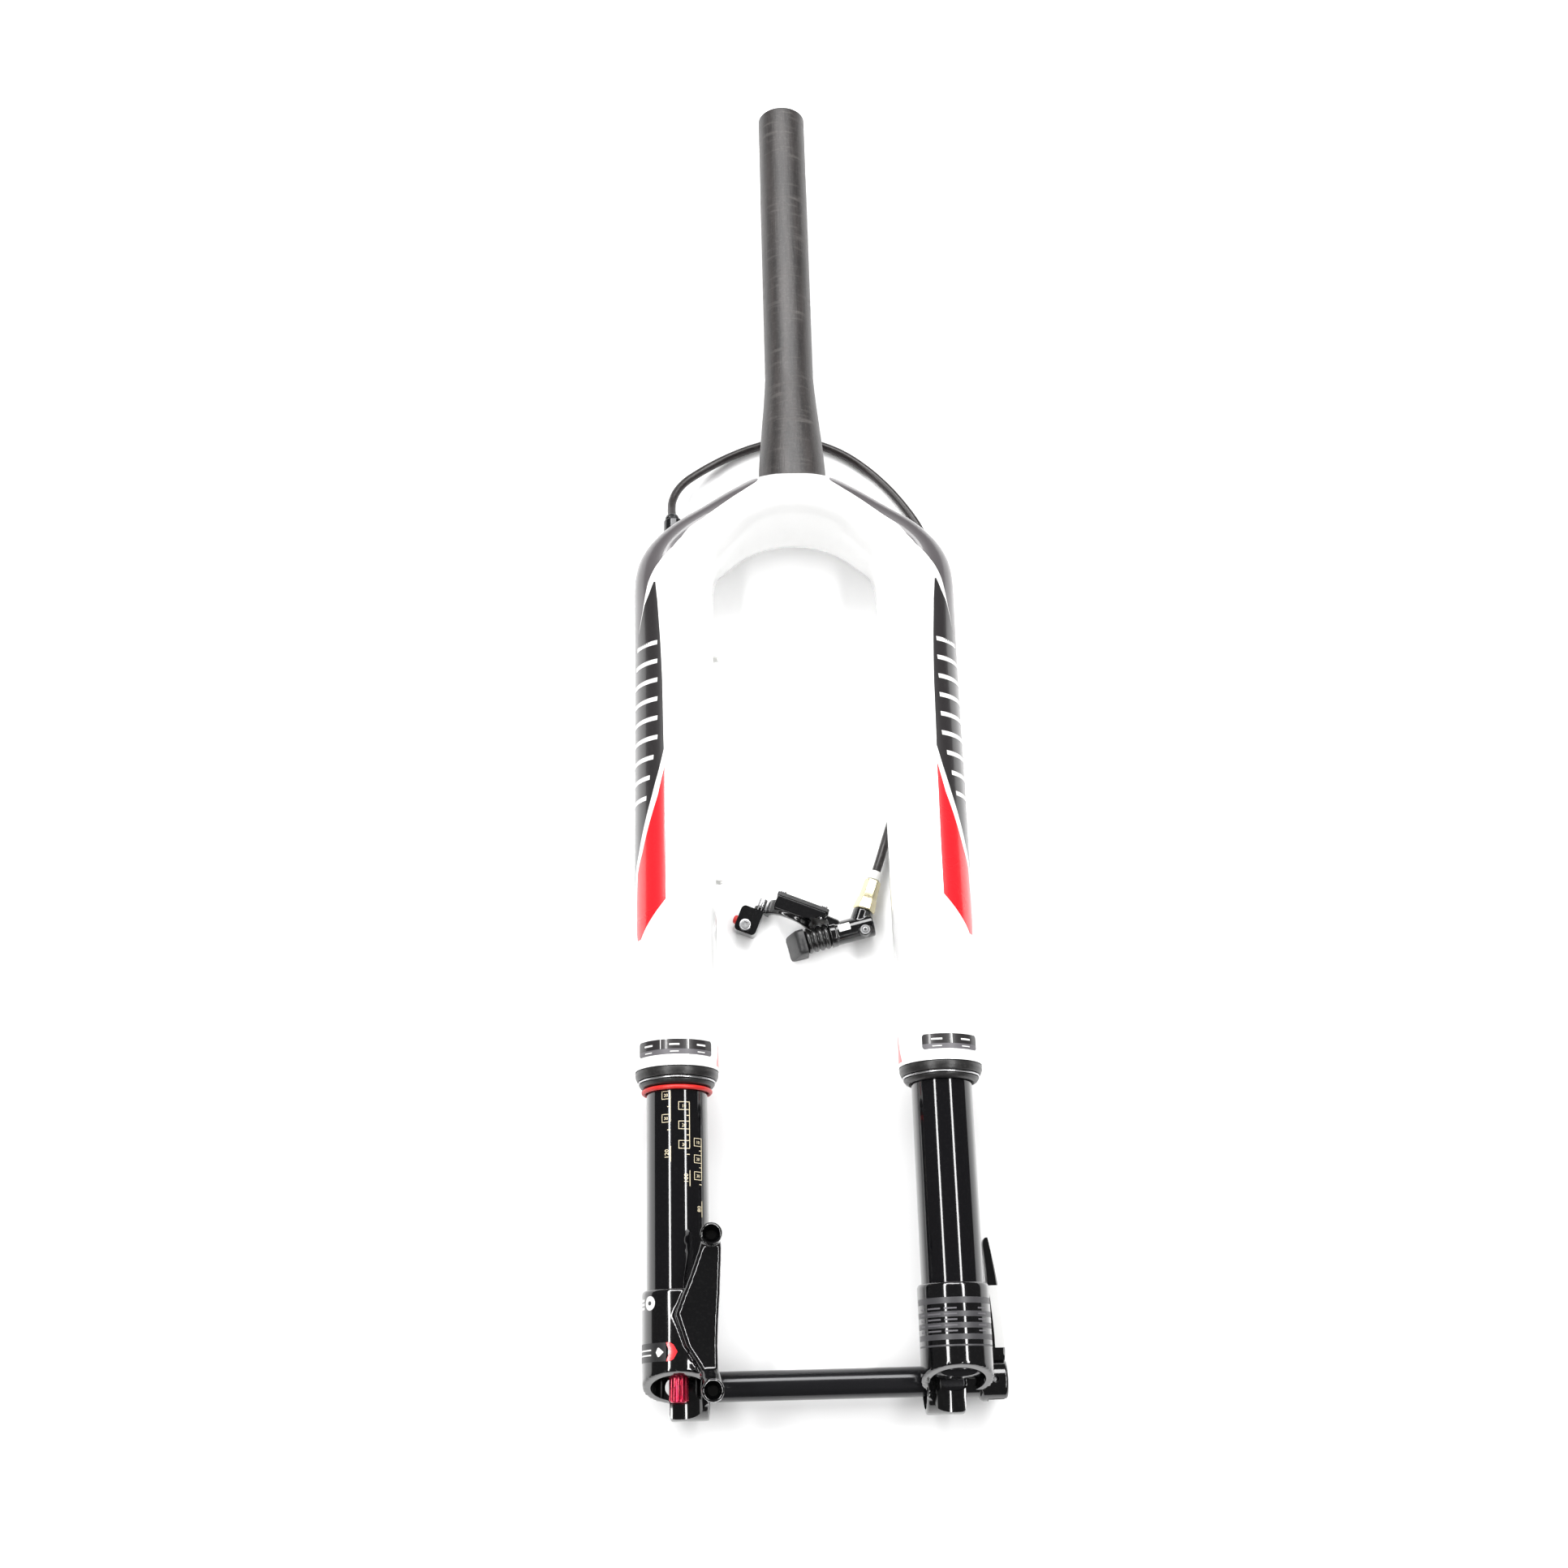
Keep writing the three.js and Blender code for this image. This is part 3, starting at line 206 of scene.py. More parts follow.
def addFinish(name, slot, colour, roughness, metallic=0.0, coat=0.0, grain=(400, 0.08, 0.05),
              second=None, worn=(0.5, 0.5, 0.5), wear=0.0, dust=0.005, carbon=False):
    material = bpy.data.materials.new(name)
    material.use_nodes = True
    tree = material.node_tree
    shader = tree.nodes["Principled BSDF"]
    shader.inputs["Metallic"].default_value = metallic
    shader.inputs["Coat Weight"].default_value = coat
    shader.inputs["Coat Roughness"].default_value = shared["coatRoughness"]
    scale, variation, bump = grain
    surface = fillGroup(tree, grainGroup, {"Scale": scale, "Roughness": roughness, "Variation": variation})
    height, rough = surface["Height"], surface["Roughness"]
    if carbon:
        ply = fillGroup(tree, carbonGroup, {"Fibre": rgba(colour), "Resin": rgba(second), "Scuffed": rgba(worn)})
        base, height, rough = ply["Color"], ply["Height"], ply["Roughness"]
    else:
        other = second or tuple(channel * shared["mottle"] for channel in colour)
        base = mixColours(tree, surface["Mottle"], rgba(colour), rgba(other))
    base = fillGroup(tree, wearGroup, {"Base": base, "Worn": rgba(worn), "Amount": wear})["Color"]
    base = fillGroup(tree, dustGroup, {"Base": base, "Dust": shared["dustColour"], "Amount": dust})["Color"]
    relief = put(tree, "ShaderNodeBump", {"Height": height, "Strength": bump, "Distance": shared["relief"]}).outputs[0]
    tree.links.new(base, shader.inputs["Base Color"])
    tree.links.new(rough, shader.inputs["Roughness"])
    tree.links.new(relief, shader.inputs["Normal"])
    finishes[name] = (material, slot)


addFinish("glossWhite", "white_paint", (0.86, 0.86, 0.855), 0.2, coat=0.6, grain=(60, 0.06, 0.02), dust=0.03,
          second=(0.83, 0.83, 0.825))
addFinish("bandGrey", "white_paint", (0.085, 0.078, 0.082), 0.34, coat=0.5, grain=(500, 0.1, 0.03))
addFinish("panelBlack", "white_paint", (0.022, 0.02, 0.021), 0.3, coat=0.6, grain=(500, 0.1, 0.03))
addFinish("wedgeRed", "white_paint", (0.72, 0.012, 0.02), 0.28, coat=0.6, grain=(500, 0.08, 0.03))
addFinish("plateGrey", "white_paint", (0.12, 0.115, 0.125), 0.4, grain=(500, 0.1, 0.03))
addFinish("markWhite", "white_paint", (0.8, 0.8, 0.79), 0.4, grain=(500, 0.1, 0.03))
addFinish("matCarbon", "bare_carbon", (0.012, 0.0105, 0.0105), 0.5, grain=(900, 0.1, 0.5),
          second=(0.034, 0.029, 0.028), worn=(0.085, 0.078, 0.074), dust=0.03, wear=0.3, carbon=True)
addFinish("glossStanchion", "black_anodised", (0.005, 0.0048, 0.006), 0.08, 0.25, coat=0.7, grain=(1500, 0.03, 0.03))
addFinish("scaleGold", "black_anodised", (0.78, 0.68, 0.47), 0.4, grain=(1500, 0.1, 0.02))
addFinish("blackAnodised", "black_anodised", (0.014, 0.014, 0.016), 0.2, 0.45, coat=0.3, grain=(1200, 0.1, 0.06),
          worn=(0.6, 0.6, 0.6), wear=0.25)
addFinish("castBlack", "black_gloss", (0.003, 0.003, 0.0034), 0.1, coat=0.8, grain=(220, 0.08, 0.06),
          worn=(0.2, 0.2, 0.2), wear=0.03)
addFinish("remoteBlack", "black_gloss", (0.004, 0.004, 0.0045), 0.13, coat=0.6, grain=(500, 0.1, 0.1),
          worn=(0.2, 0.2, 0.2), wear=0.03)
addFinish("labelBlack", "black_gloss", (0.02, 0.02, 0.021), 0.34, grain=(600, 0.1, 0.02))
addFinish("labelGrey", "black_gloss", (0.055, 0.054, 0.058), 0.38, grain=(600, 0.1, 0.02))
addFinish("sealRubber", "black_rubber", (0.016, 0.0155, 0.0155), 0.34, grain=(900, 0.15, 0.15), dust=0.03)
addFinish("bellowsRubber", "black_rubber", (0.006, 0.006, 0.006), 0.2, coat=0.4, grain=(900, 0.12, 0.1))
addFinish("mouldedBlack", "black_plastic", (0.011, 0.011, 0.012), 0.42, grain=(1400, 0.12, 0.3), worn=(0.1, 0.1, 0.1),
          wear=0.3, dust=0.03)
addFinish("redKnob", "red_anodised", (0.62, 0.004, 0.055), 0.2, 0.75, coat=0.3, grain=(1200, 0.1, 0.05),
          worn=(0.9, 0.5, 0.5), wear=0.3)
addFinish("redRubber", "red_rubber", (0.6, 0.018, 0.014), 0.42, grain=(900, 0.12, 0.15), dust=0.03)
addFinish("machinedSteel", "steel", (0.55, 0.55, 0.56), 0.28, 1.0, grain=(1600, 0.16, 0.12), worn=(0.8, 0.8, 0.8),
          wear=0.4)
addFinish("paleGold", "nickel", (0.6, 0.54, 0.35), 0.2, 1.0, grain=(1200, 0.12, 0.06), worn=(0.95, 0.93, 0.85),
          wear=0.4)
addFinish("whitePlastic", "white_plastic", (0.8, 0.8, 0.78), 0.34, coat=0.2, grain=(900, 0.1, 0.08))
addFinish("sinteredBronze", "bronze", (0.4, 0.25, 0.1), 0.5, 0.8, grain=(1800, 0.2, 0.4))
addFinish("oilFoam", "foam", (0.05, 0.05, 0.052), 0.92, grain=(1500, 0.1, 1.0))
addFinish("hoseBlack", "hose", (0.017, 0.0135, 0.0135), 0.36, grain=(1200, 0.15, 0.12), dust=0.04)
print("finishes made:", len(finishes))


# mesh building
def cleanMesh(name, verts, faces, mend=True):
    mesh = bpy.data.meshes.new(name)
    mesh.from_pydata([tuple(v) for v in verts], [], faces)
    if mend:
        work = bmesh.new()
        work.from_mesh(mesh)
        bmesh.ops.remove_doubles(work, verts=work.verts, dist=2e-6)
        bmesh.ops.recalc_face_normals(work, faces=work.faces)
        work.to_mesh(mesh)
        work.free()
    return mesh


def softCorners(points, radius, steps=4, closed=True):
    # rounds each corner of an outline
    result = []
    count = len(points)
    for i, point in enumerate(points):
        here = Vector(point)
        if not closed and i in (0, count - 1):
            result.append(here)
            continue
        back, ahead = Vector(points[i - 1]) - here, Vector(points[(i + 1) % count]) - here
        reach = min(radius, back.length * 0.45, ahead.length * 0.45)
        start, end = here + back.normalized() * reach, here + ahead.normalized() * reach
        for k in range(steps + 1):
            t = k / steps
            result.append(start * (1 - t) ** 2 + here * 2 * t * (1 - t) + end * t * t)
    return [tuple(p) for p in result]


def revolve(name, profile, place, sides=96, soft=0.0):
    # profile is a closed loop of (radius, y); points on the axis stay sharp
    if soft:
        onAxis = [abs(r) < 1e-6 for r, y in profile]
        rounded = []
        for i, point in enumerate(profile):
            if onAxis[i]:
                rounded.append(point)
            else:
                trio = [profile[i - 1], point, profile[(i + 1) % len(profile)]]
                rounded += softCorners(trio, soft, closed=False)[1:-1]
        profile = rounded
    verts, faces = [], []
    count = len(profile)
    for i in range(sides):
        angle = 2 * math.pi * i / sides
        verts += [place(r * math.cos(angle), y, r * math.sin(angle)) for r, y in profile]
        for j in range(count):
            a, b = i * count + j, i * count + (j + 1) % count
            ahead = count * sides
            faces.append((a, b, (b + count) % ahead, (a + count) % ahead))
    return cleanMesh(name, verts, faces)


def loft(name, rings):
    # a skin through the rings, closed at both ends
    count, last = len(rings[0]), (len(rings) - 1) * len(rings[0])
    verts = [point for ring in rings for point in ring]
    faces = []
    for i in range(len(rings) - 1):
        for j in range(count):
            a, b = i * count + j, i * count + (j + 1) % count
            faces.append((a, b, b + count, a + count))
    faces += [tuple(range(count)), tuple(last + j for j in range(count))]
    return cleanMesh(name, verts, faces)


def prism(name, outline, low, high, place, soft=0.0):
    # outline in the place's first two axes, thickness along its third
    outline = softCorners(outline, soft) if soft else outline
    return loft(name, [[place(x, y, z) for x, y in outline] for z in (low, high)])


def block(name, lows, highs, place):
    (x0, y0, z0), (x1, y1, z1) = lows, highs
    return prism(name, [(x0, y0), (x1, y0), (x1, y1), (x0, y1)], z0, z1, place)


def upright(name, profile, place, x, y, sides=48, soft=0.0):
    # a turned piece that stands on the bench, from a profile of (radius, z)
    return revolve(name, profile, lambda a, b, c: place(x + a, y + c, b), sides, soft)


def crosswise(name, profile, place, y, z, sides=64, soft=0.0):
    # a turned piece along the place's X axis, from a profile of (radius, x)
    return revolve(name, profile, lambda a, b, c: place(b, y + a, z + c), sides, soft)


def disc(radius, low, high):
    return [(0, low), (radius, low), (radius, high), (0, high)]


def pipe(outer, inner, low, high):
    return [(inner, low), (outer, low), (outer, high), (inner, high)]


def merged(name, meshes):
    work = bmesh.new()
    for mesh in meshes:
        work.from_mesh(mesh)
    result = bpy.data.meshes.new(name)
    work.to_mesh(result)
    work.free()
    return result


def looseObject(mesh):
    made = bpy.data.objects.new(mesh.name, mesh)
    bpy.context.scene.collection.objects.link(made)
    return made


def bakeMesh(made, name):
    graph = bpy.context.evaluated_depsgraph_get()
    mesh = bpy.data.meshes.new_from_object(made.evaluated_get(graph))
    mesh.name = name
    bpy.data.objects.remove(made)
    return mesh


def fuse(name, meshes, voxel, rounds):
    # runs the pieces together into one casting with filleted joints
    made = looseObject(merged(name, meshes))
    remesh = made.modifiers.new("fuse", "REMESH")
    remesh.mode = "VOXEL"
    remesh.voxel_size = voxel * mm
    smooth = made.modifiers.new("fillet", "SMOOTH")
    smooth.factor = 0.5
    smooth.iterations = rounds
    return bakeMesh(made, name)


def carve(mesh, cutters):
    made = looseObject(mesh)
    tools = [looseObject(cutter) for cutter in cutters]
    for tool in tools:
        cut = made.modifiers.new("cut", "BOOLEAN")
        cut.operation, cut.solver, cut.object = "DIFFERENCE", "EXACT", tool
    result = bakeMesh(made, mesh.name)
    for tool in tools:
        bpy.data.objects.remove(tool)
    return result


def addPiece(name, mesh, finish, body, nodes=(), bevel=0.0, crease=32):
    material, slot = finishes[finish]
    mesh.name = name
    mesh.materials.clear()
    mesh.materials.append(material)
    mesh.shade_smooth()
    mesh.set_sharp_from_angle(angle=math.radians(crease))
    piece = looseObject(mesh)
    piece.name = name
    if bevel:
        edge = piece.modifiers.new("edge", "BEVEL")
        edge.width, edge.segments, edge.angle_limit = bevel * mm, 2, math.radians(30)
        edge.limit_method = "ANGLE"
    if nodes:
        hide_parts(*nodes)
    if body:
        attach(piece, body)
    return piece


view = {
    "at": (-40.5, -398.5, 1023.7), "along": (0.0299, 0.3307, -0.9432), "up": (0.0167, 0.9434, 0.3313),
    "lens": 43.12, "sensor": 36.0, "clip": (0.01, 50.0),
}


def makeCamera():
    data = bpy.data.cameras.new("studioCamera")
    data.lens, data.sensor_width = view["lens"], view["sensor"]
    data.clip_start, data.clip_end = view["clip"]
    camera = bpy.data.objects.new("studioCamera", data)
    bpy.context.scene.collection.objects.link(camera)
    back = -Vector(view["along"]).normalized()
    right = Vector(view["up"]).cross(back).normalized()
    turn = Matrix((right, back.cross(right), back)).transposed().to_4x4()
    camera.matrix_world = Matrix.Translation(Vector(view["at"]) * mm) @ turn
    bpy.context.scene.camera = camera


makeCamera()

# the hose
hose = {"diameter": 0.005, "length": 0.437, "smoothness": 8, "ferrule": (3.6, 2.8, 29.4, 34.4)}
# where the hose runs, in metres, from the swivel on the crown to the nut on the remote
hoseRoute = [
    (-0.07096, 0.12084, 0.02316), (-0.07118, 0.1249, 0.02084), (-0.0713, 0.1291, 0.0185), (-0.0709, 0.1354, 0.0158),
    (-0.0684, 0.143, 0.0136), (-0.0635, 0.1505, 0.0113), (-0.056, 0.1576, 0.0088), (-0.047, 0.1646, 0.0064),
    (-0.036, 0.1716, 0.0043), (-0.023, 0.1778, 0.0029), (-0.009, 0.1818, 0.0026), (0.005, 0.1826, 0.0026),
    (0.019, 0.18, 0.0026), (0.033, 0.1736, 0.0026), (0.046, 0.164, 0.0026), (0.058, 0.152, 0.0026),
    (0.069, 0.1376, 0.0026), (0.078, 0.122, 0.0026), (0.0836, 0.105, 0.0026), (0.086, 0.087, 0.0026),
    (0.0858, 0.068, 0.0026), (0.0834, 0.048, 0.0026), (0.0792, 0.028, 0.0026), (0.074, 0.006, 0.0026),
    (0.0682, -0.016, 0.0026), (0.062, -0.037, 0.0026), (0.056, -0.055, 0.0028), (0.051, -0.07, 0.0048),
    (0.0472, -0.0816, 0.0076), (0.0445, -0.0898, 0.0087), (0.04229, -0.09606, 0.0088),
]


def smoothRoute(points, steps):
    # centripetal Catmull-Rom through the points
    points = [Vector(p) for p in points]
    points = [points[0] * 2 - points[1]] + points + [points[-1] * 2 - points[-2]]
    result = []
    for p0, p1, p2, p3 in zip(points, points[1:], points[2:], points[3:]):
        t1 = math.sqrt((p1 - p0).length)
        t2 = t1 + math.sqrt((p2 - p1).length)
        t3 = t2 + math.sqrt((p3 - p2).length)
        for k in range(steps):
            t = t1 + (t2 - t1) * k / steps
            a1 = p0 * ((t1 - t) / t1) + p1 * (t / t1)
            a2 = p1 * ((t2 - t) / (t2 - t1)) + p2 * ((t - t1) / (t2 - t1))
            a3 = p2 * ((t3 - t) / (t3 - t2)) + p3 * ((t - t2) / (t3 - t2))
            b1 = a1 * ((t2 - t) / t2) + a2 * (t / t2)
            b2 = a2 * ((t3 - t) / (t3 - t1)) + a3 * ((t - t1) / (t3 - t1))
            result.append(b1 * ((t2 - t) / (t2 - t1)) + b2 * ((t - t1) / (t2 - t1)))
    return result + [points[-2]]


def makeHose():
    data = bpy.data.curves.new("hose", "CURVE")
    data.dimensions = "3D"
    data.bevel_depth, data.bevel_resolution, data.use_fill_caps = hose["diameter"] / 2, 6, True
    line = data.splines.new("POLY")
    path = smoothRoute(hoseRoute, hose["smoothness"])
    line.points.add(len(path) - 1)
    for knot, point in zip(line.points, path):
        knot.co = (*point, 1.0)
    piece = bpy.data.objects.new("hose", data)
    bpy.context.scene.collection.objects.link(piece)
    material, slot = finishes["hoseBlack"]
    data.materials.append(material)
    line.use_smooth = True
    return piece, slot


hosePiece, hoseSlot = makeHose()
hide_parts("remote_hose")
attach(hosePiece, "chassis")
# the ferrule and the nut stand on the elbow
ferrule = addPiece("hoseFerrule", revolve("hoseFerrule", pipe(*hose["ferrule"]), elbowPlace, 64, 0.5),
                   "whitePlastic", "chassis", ["hose_ferrule"])
print("camera and hose made")

# white crown and upper legs, one shell
# each section: outer x and y, inner x and y, middle z, half depth, squareness
shell = {
    "sections": [
        (92.2, -344, 47.8, -344, -22, 22.2, 1.0), (92.2, -300, 47.8, -300, -22, 22.2, 1.0),
        (92.2, -180, 47.8, -180, -22, 22.2, 1.0), (92.2, -110, 47.8, -110, -22, 22.2, 1.0),
        (92.5, -80, 47.6, -81, -22, 22.4, 0.94), (92.2, -55, 46.8, -60, -22, 23.0, 0.86),
        (86.8, -40, 43.4, -50, -21.5, 23.2, 0.8), (74, -27.5, 36, -43.5, -19.5, 24.4, 0.76),
        (54, -17, 26, -36.4, -16, 26.4, 0.76), (36, -8.4, 16, -33.2, -12, 28.6, 0.78),
        (20, -2.4, 7, -32.2, -9.5, 30.4, 0.8), (0, -0.6, 0, -32.2, -8.5, 31.2, 0.82),
    ],
    "steps": 8, "sides": 96, "lip": 21.9, "sealSeat": 20.5, "sealDepth": 9.0, "steererSeat": 19.3, "capSeat": 10.7,
}
wholeArch = [(-s[0], s[1], -s[2], *s[3:]) for s in shell["sections"][:-1]] + [shell["sections"][-1]]
wholeArch += reversed(shell["sections"][:-1])
archEnd = len(wholeArch) - 1


def sectionAt(u):
    # Catmull-Rom between the sections
    i = min(max(int(math.floor(u)), 0), archEnd - 1)
    t = u - i
    rows = [wholeArch[min(max(i + k, 0), archEnd)] for k in (-1, 0, 1, 2)]
    return [
        0.5 * (2 * b + (c - a) * t + (2 * a - 5 * b + 4 * c - d) * t * t + (3 * b - a - 3 * c + d) * t ** 3)
        for a, b, c, d in zip(*rows)
    ]


def shellLocal(u, degrees):
    outerX, outerY, innerX, innerY, z, depth, square = sectionAt(u)
    cosine, sine = math.cos(math.radians(degrees)), math.sin(math.radians(degrees))
    across = math.copysign(abs(cosine) ** square, cosine)
    share = (1 + across) / 2
    rise = math.copysign(abs(sine) ** square, sine) if abs(sine) > 1e-9 else 0.0
    return Vector((innerX + (outerX - innerX) * share, innerY + (outerY - innerY) * share, z + depth * rise))


def shellPoint(side):
    # a place on the white shell: u counts sections up from the foot of one leg, degrees run outside to rear
    def place(degrees, u, lift):
        s = u if side < 0 else archEnd - u
        here = shellLocal(s, degrees)
        along = shellLocal(s + 0.01, degrees) - shellLocal(s - 0.01, degrees)
        around = shellLocal(s, degrees + 1) - shellLocal(s, degrees - 1)
        normal = along.cross(around).normalized()
        middle = (shellLocal(s, 0) + shellLocal(s, 180)) / 2
        if normal.dot(here - middle) < 0:
            normal = -normal
        return forkPoint(*(here + normal * lift))
    return place


def sectionOf(y):
    # which section a height on the leg belongs to, on the line a little behind the outside
    low, high = 0.0, 7.0
    for _ in range(30):
        middle = (low + high) / 2
        row = sectionAt(middle)
        low, high = (middle, high) if row[1] * 0.75 + row[3] * 0.25 < y else (low, middle)
    return low


def makeShell():
    count = archEnd * shell["steps"]
    rings = []
    for k in range(count + 1):
        u = k / shell["steps"]
        rings.append([forkPoint(*shellLocal(u, 360 * j / shell["sides"])) for j in range(shell["sides"])])
    for end, side in ((0, -1), (-1, 1)):
        # the open foot that the seal presses into
        place = legPlace(side)
        seat, turns = shell["sealSeat"], [2 * math.pi * j / shell["sides"] for j in range(shell["sides"])]
        inner = [[place(side * r * math.cos(a), y, r * math.sin(a)) for a in turns]
                 for r, y in ((shell["lip"], upperEnd), (seat, upperEnd + 0.3), (seat, upperEnd + shell["sealDepth"]))]
        rings = list(reversed(inner)) + rings if end == 0 else rings + inner
    arch = loft("whiteShell", rings)
    cutters = [revolve("steererSeat", disc(shell["steererSeat"], -12, 20), forkPoint, 96)]
    cutters += [revolve("capSeat", disc(shell["capSeat"], -36, 10), legPlace(side), 96) for side in (-1, 1)]
    return carve(arch, cutters)


addPiece("whiteShell", makeShell(), "glossWhite", "chassis", ["crown", "upper_tube_left", "upper_tube_right"],
         crease=40)
print("white shell made")


# printed and painted marks: thin skins that follow a surface
def tubePoint(side, radius):
    # degrees run from the outside of the leg to its rear; v is the height in the fork
    def place(degrees, v, lift):
        angle = math.radians(degrees)
        r = radius + lift
        return forkPoint(side * (legX + r * math.cos(angle)), v, legZ + r * math.sin(angle))
    return place


skin = {"low": -0.05, "high": 0.07, "columns": 4.0}  # how far a mark stands in and out; widest facet in degrees


def skinPatch(place, rows):
    # rows of (v, degrees from, degrees to); a closed thin skin between them
    widest = max(abs(b - a) for _, a, b in rows)
    columns = max(2, math.ceil(widest / skin["columns"]))
    verts, faces = [], []
    for lift in (skin["low"], skin["high"]):
        for v, a, b in rows:
            verts += [place(a + (b - a) * k / columns, v, lift) for k in range(columns + 1)]
    width, sheet = columns + 1, (columns + 1) * len(rows)
    for base in (0, sheet):
        for i in range(len(rows) - 1):
            for k in range(columns):
                a = base + i * width + k
                faces.append((a, a + 1, a + 1 + width, a + width))
    rim = list(range(width)) + [i * width + columns for i in range(1, len(rows))]
    rim += [(len(rows) - 1) * width + k for k in range(columns - 1, -1, -1)]
    rim += [i * width for i in range(len(rows) - 2, 0, -1)]
    for a, b in zip(rim, rim[1:] + rim[:1]):
        faces.append((a, b, b + sheet, a + sheet))
    return cleanMesh("skin", verts, faces)


def fineRows(knots, steps):
    # fills in rows between (v, from, to) knots
    result = []
    for (v0, a0, b0), (v1, a1, b1) in zip(knots, knots[1:]):
        for k in range(steps):
            t = k / steps
            result.append((v0 + (v1 - v0) * t, a0 + (a1 - a0) * t, b0 + (b1 - b0) * t))
    return result + [knots[-1]]


def onShell(knots, steps=4):
    # turns heights on the leg into sections of the shell
    return [(sectionOf(v), a, b) for v, a, b in fineRows(knots, steps)]


# heights and angles of the paintwork, from the crown down; each row is (height, outer edge, rear edge)
paint = {
    "bandArch": [(9.8, 56, 61), (9.72, 50, 67), (9.6, 46, 70), (9.4, 43, 72), (9, 28, 75), (8.5, 24, 77),
                 (8, 20, 79), (7.5, 16, 81), (7, 6, 80), (6.5, -10, 83), (6, -26, 82), (5.6, -34, 78),
                 (5.2, -40, 71), (4.9, -44, 63), (4.6, -46, 54), (4.3, -48, 47), (4, -50, 41), (3.7, -52, 34),
                 (3.4, -52, 27), (3.1, -52, 19), (2.9, -50, 6), (2.7, -48, -20), (2.6, -46, -42)],
    "panel": [(-65, 64, 67), (-72, 55, 68), (-78, 45, 69), (-88, 35, 70), (-98, 24, 71), (-108, 14, 72), (-118, 2, 73),
              (-128, -12, 74), (-140, -34, 74.5), (-152, -64, 75), (-168, -76, 76)],
    "panelFoot": [(-168, -76, 76), (-180, -76, 68), (-195, -76, 56), (-210, -76, 42), (-225, -76, 27), (-240, -76, 4),
                  (-252, -76, -30), (-258, -76, -72)],
    "wedge": [(-178.5, 76.4, 77), (-195, 66, 77), (-210, 52, 77.5), (-225, 38, 78), (-236, 24, 78), (-254, 20, 78),
              (-262, 20, 60), (-270, 21, 42), (-274, 24, 34)],
    "sliver": [(-326, 176, 178), (-332, 171, 178), (-339, 164, 178), (-342, 161, 178)],
    "bars": 9, "barTop": -104, "barPitch": 11.5, "barHeight": 2.6,
}
tube = 22.2  # radius of the straight part of the upper legs
for side, label in ((-1, "Left"), (1, "Right")):
    shellPlace, tubePlace = shellPoint(side), tubePoint(side, tube)
    band = skinPatch(shellPlace, fineRows(paint["bandArch"], 5))
    addPiece("greyBand" + label, band, "bandGrey", "chassis")
    panel = skinPatch(shellPlace, onShell(paint["panel"] + paint["panelFoot"][1:], 5))
    addPiece("darkPanel" + label, panel, "panelBlack", "chassis")
    bars = []
    for k in range(paint["bars"]):
        # generic slanted bars stand where the real one has lettering
        v, top = paint["barTop"] - paint["barPitch"] * k, paint["barTop"] - paint["barPitch"] * k + paint["barHeight"]
        outer, inner = 22 - 5.5 * k, 66 - 6.6 * max(0, k - 5)
        bars.append(skinPatch(tubePoint(side, tube + 0.1), [(v, outer, inner), (top, outer + 1, inner + 0.6)]))
    addPiece("panelBars" + label, merged("bars", bars), "markWhite", "chassis")
    addPiece("redWedge" + label, skinPatch(tubePlace, fineRows(paint["wedge"], 4)), "wedgeRed", "chassis")
    addPiece("redSliver" + label, skinPatch(tubePlace, paint["sliver"]), "wedgeRed", "chassis")

# small information plates near the feet of the upper legs: (side, from, to, cells)
plates = {"top": -330.4, "split": -335.6, "foot": -338.4, "rows": ((-1, 31, 146, 3), (1, 37, 120, 2))}
for side, start, end, cells in plates["rows"]:
    label = "Left" if side < 0 else "Right"
    place, above = tubePoint(side, tube), tubePoint(side, tube + 0.1)
    v0, v1, v2 = plates["top"], plates["split"], plates["foot"]
    dark = [(v0, start + 3, end - 3), (v0 - 0.5, start + 1, end - 1), (v0 - 1.2, start, end), (v1, start, end)]
    pale = [(v1, start, end), (v2 + 1.2, start, end), (v2 + 0.5, start + 1, end - 1), (v2, start + 3, end - 3)]
    addPiece("infoPlate" + label, skinPatch(place, dark), "panelBlack", "chassis")
    addPiece("infoFoot" + label, skinPatch(place, pale), "plateGrey", "chassis")
    lines = []
    step = (end - start) / cells
    for k in range(1, cells):
        middle = start + k * step
        a, b = middle - 0.5, middle + 0.5
        lines.append(skinPatch(above, [(v0 - 0.2, a, b), (v1 + 0.1, a, b)]))
    for k in range(cells):
        a, b = start + (k + 0.32) * step, start + (k + 0.68) * step
        lines.append(skinPatch(above, [(v0 - 2.4, a, b), (v0 - 3.3, a, b)]))
        lines.append(skinPatch(above, [(v1 - 1.1, a + 1, b - 1), (v1 - 1.6, a + 1, b - 1)]))
    addPiece("infoLines" + label, merged("lines", lines), "markWhite", "chassis")
print("paintwork made")

# steerer
steerer = {"profile": [(11, -12), (19.4, -12), (19.4, 3), (14.3, 67), (14.3, 254.4), (13.7, 255), (11, 255)]}


def makeSteerer():
    bore, low, foot, taper, rim, top, inner = steerer["profile"]
    wall = [bore, low, foot]
    for k in range(1, 13):
        t = k / 13
        wall.append((19.4 - 5.1 * (t * t * (3 - 2 * t) * 0.35 + t * 0.65), 3 + 64 * t))
    wall += [taper, (14.3, 120), (14.3, 180), rim, top, inner]
    return revolve("steerer", wall, forkPoint, 128)


addPiece("steerer", makeSteerer(), "matCarbon", "chassis", ["steerer_tube"], crease=30)

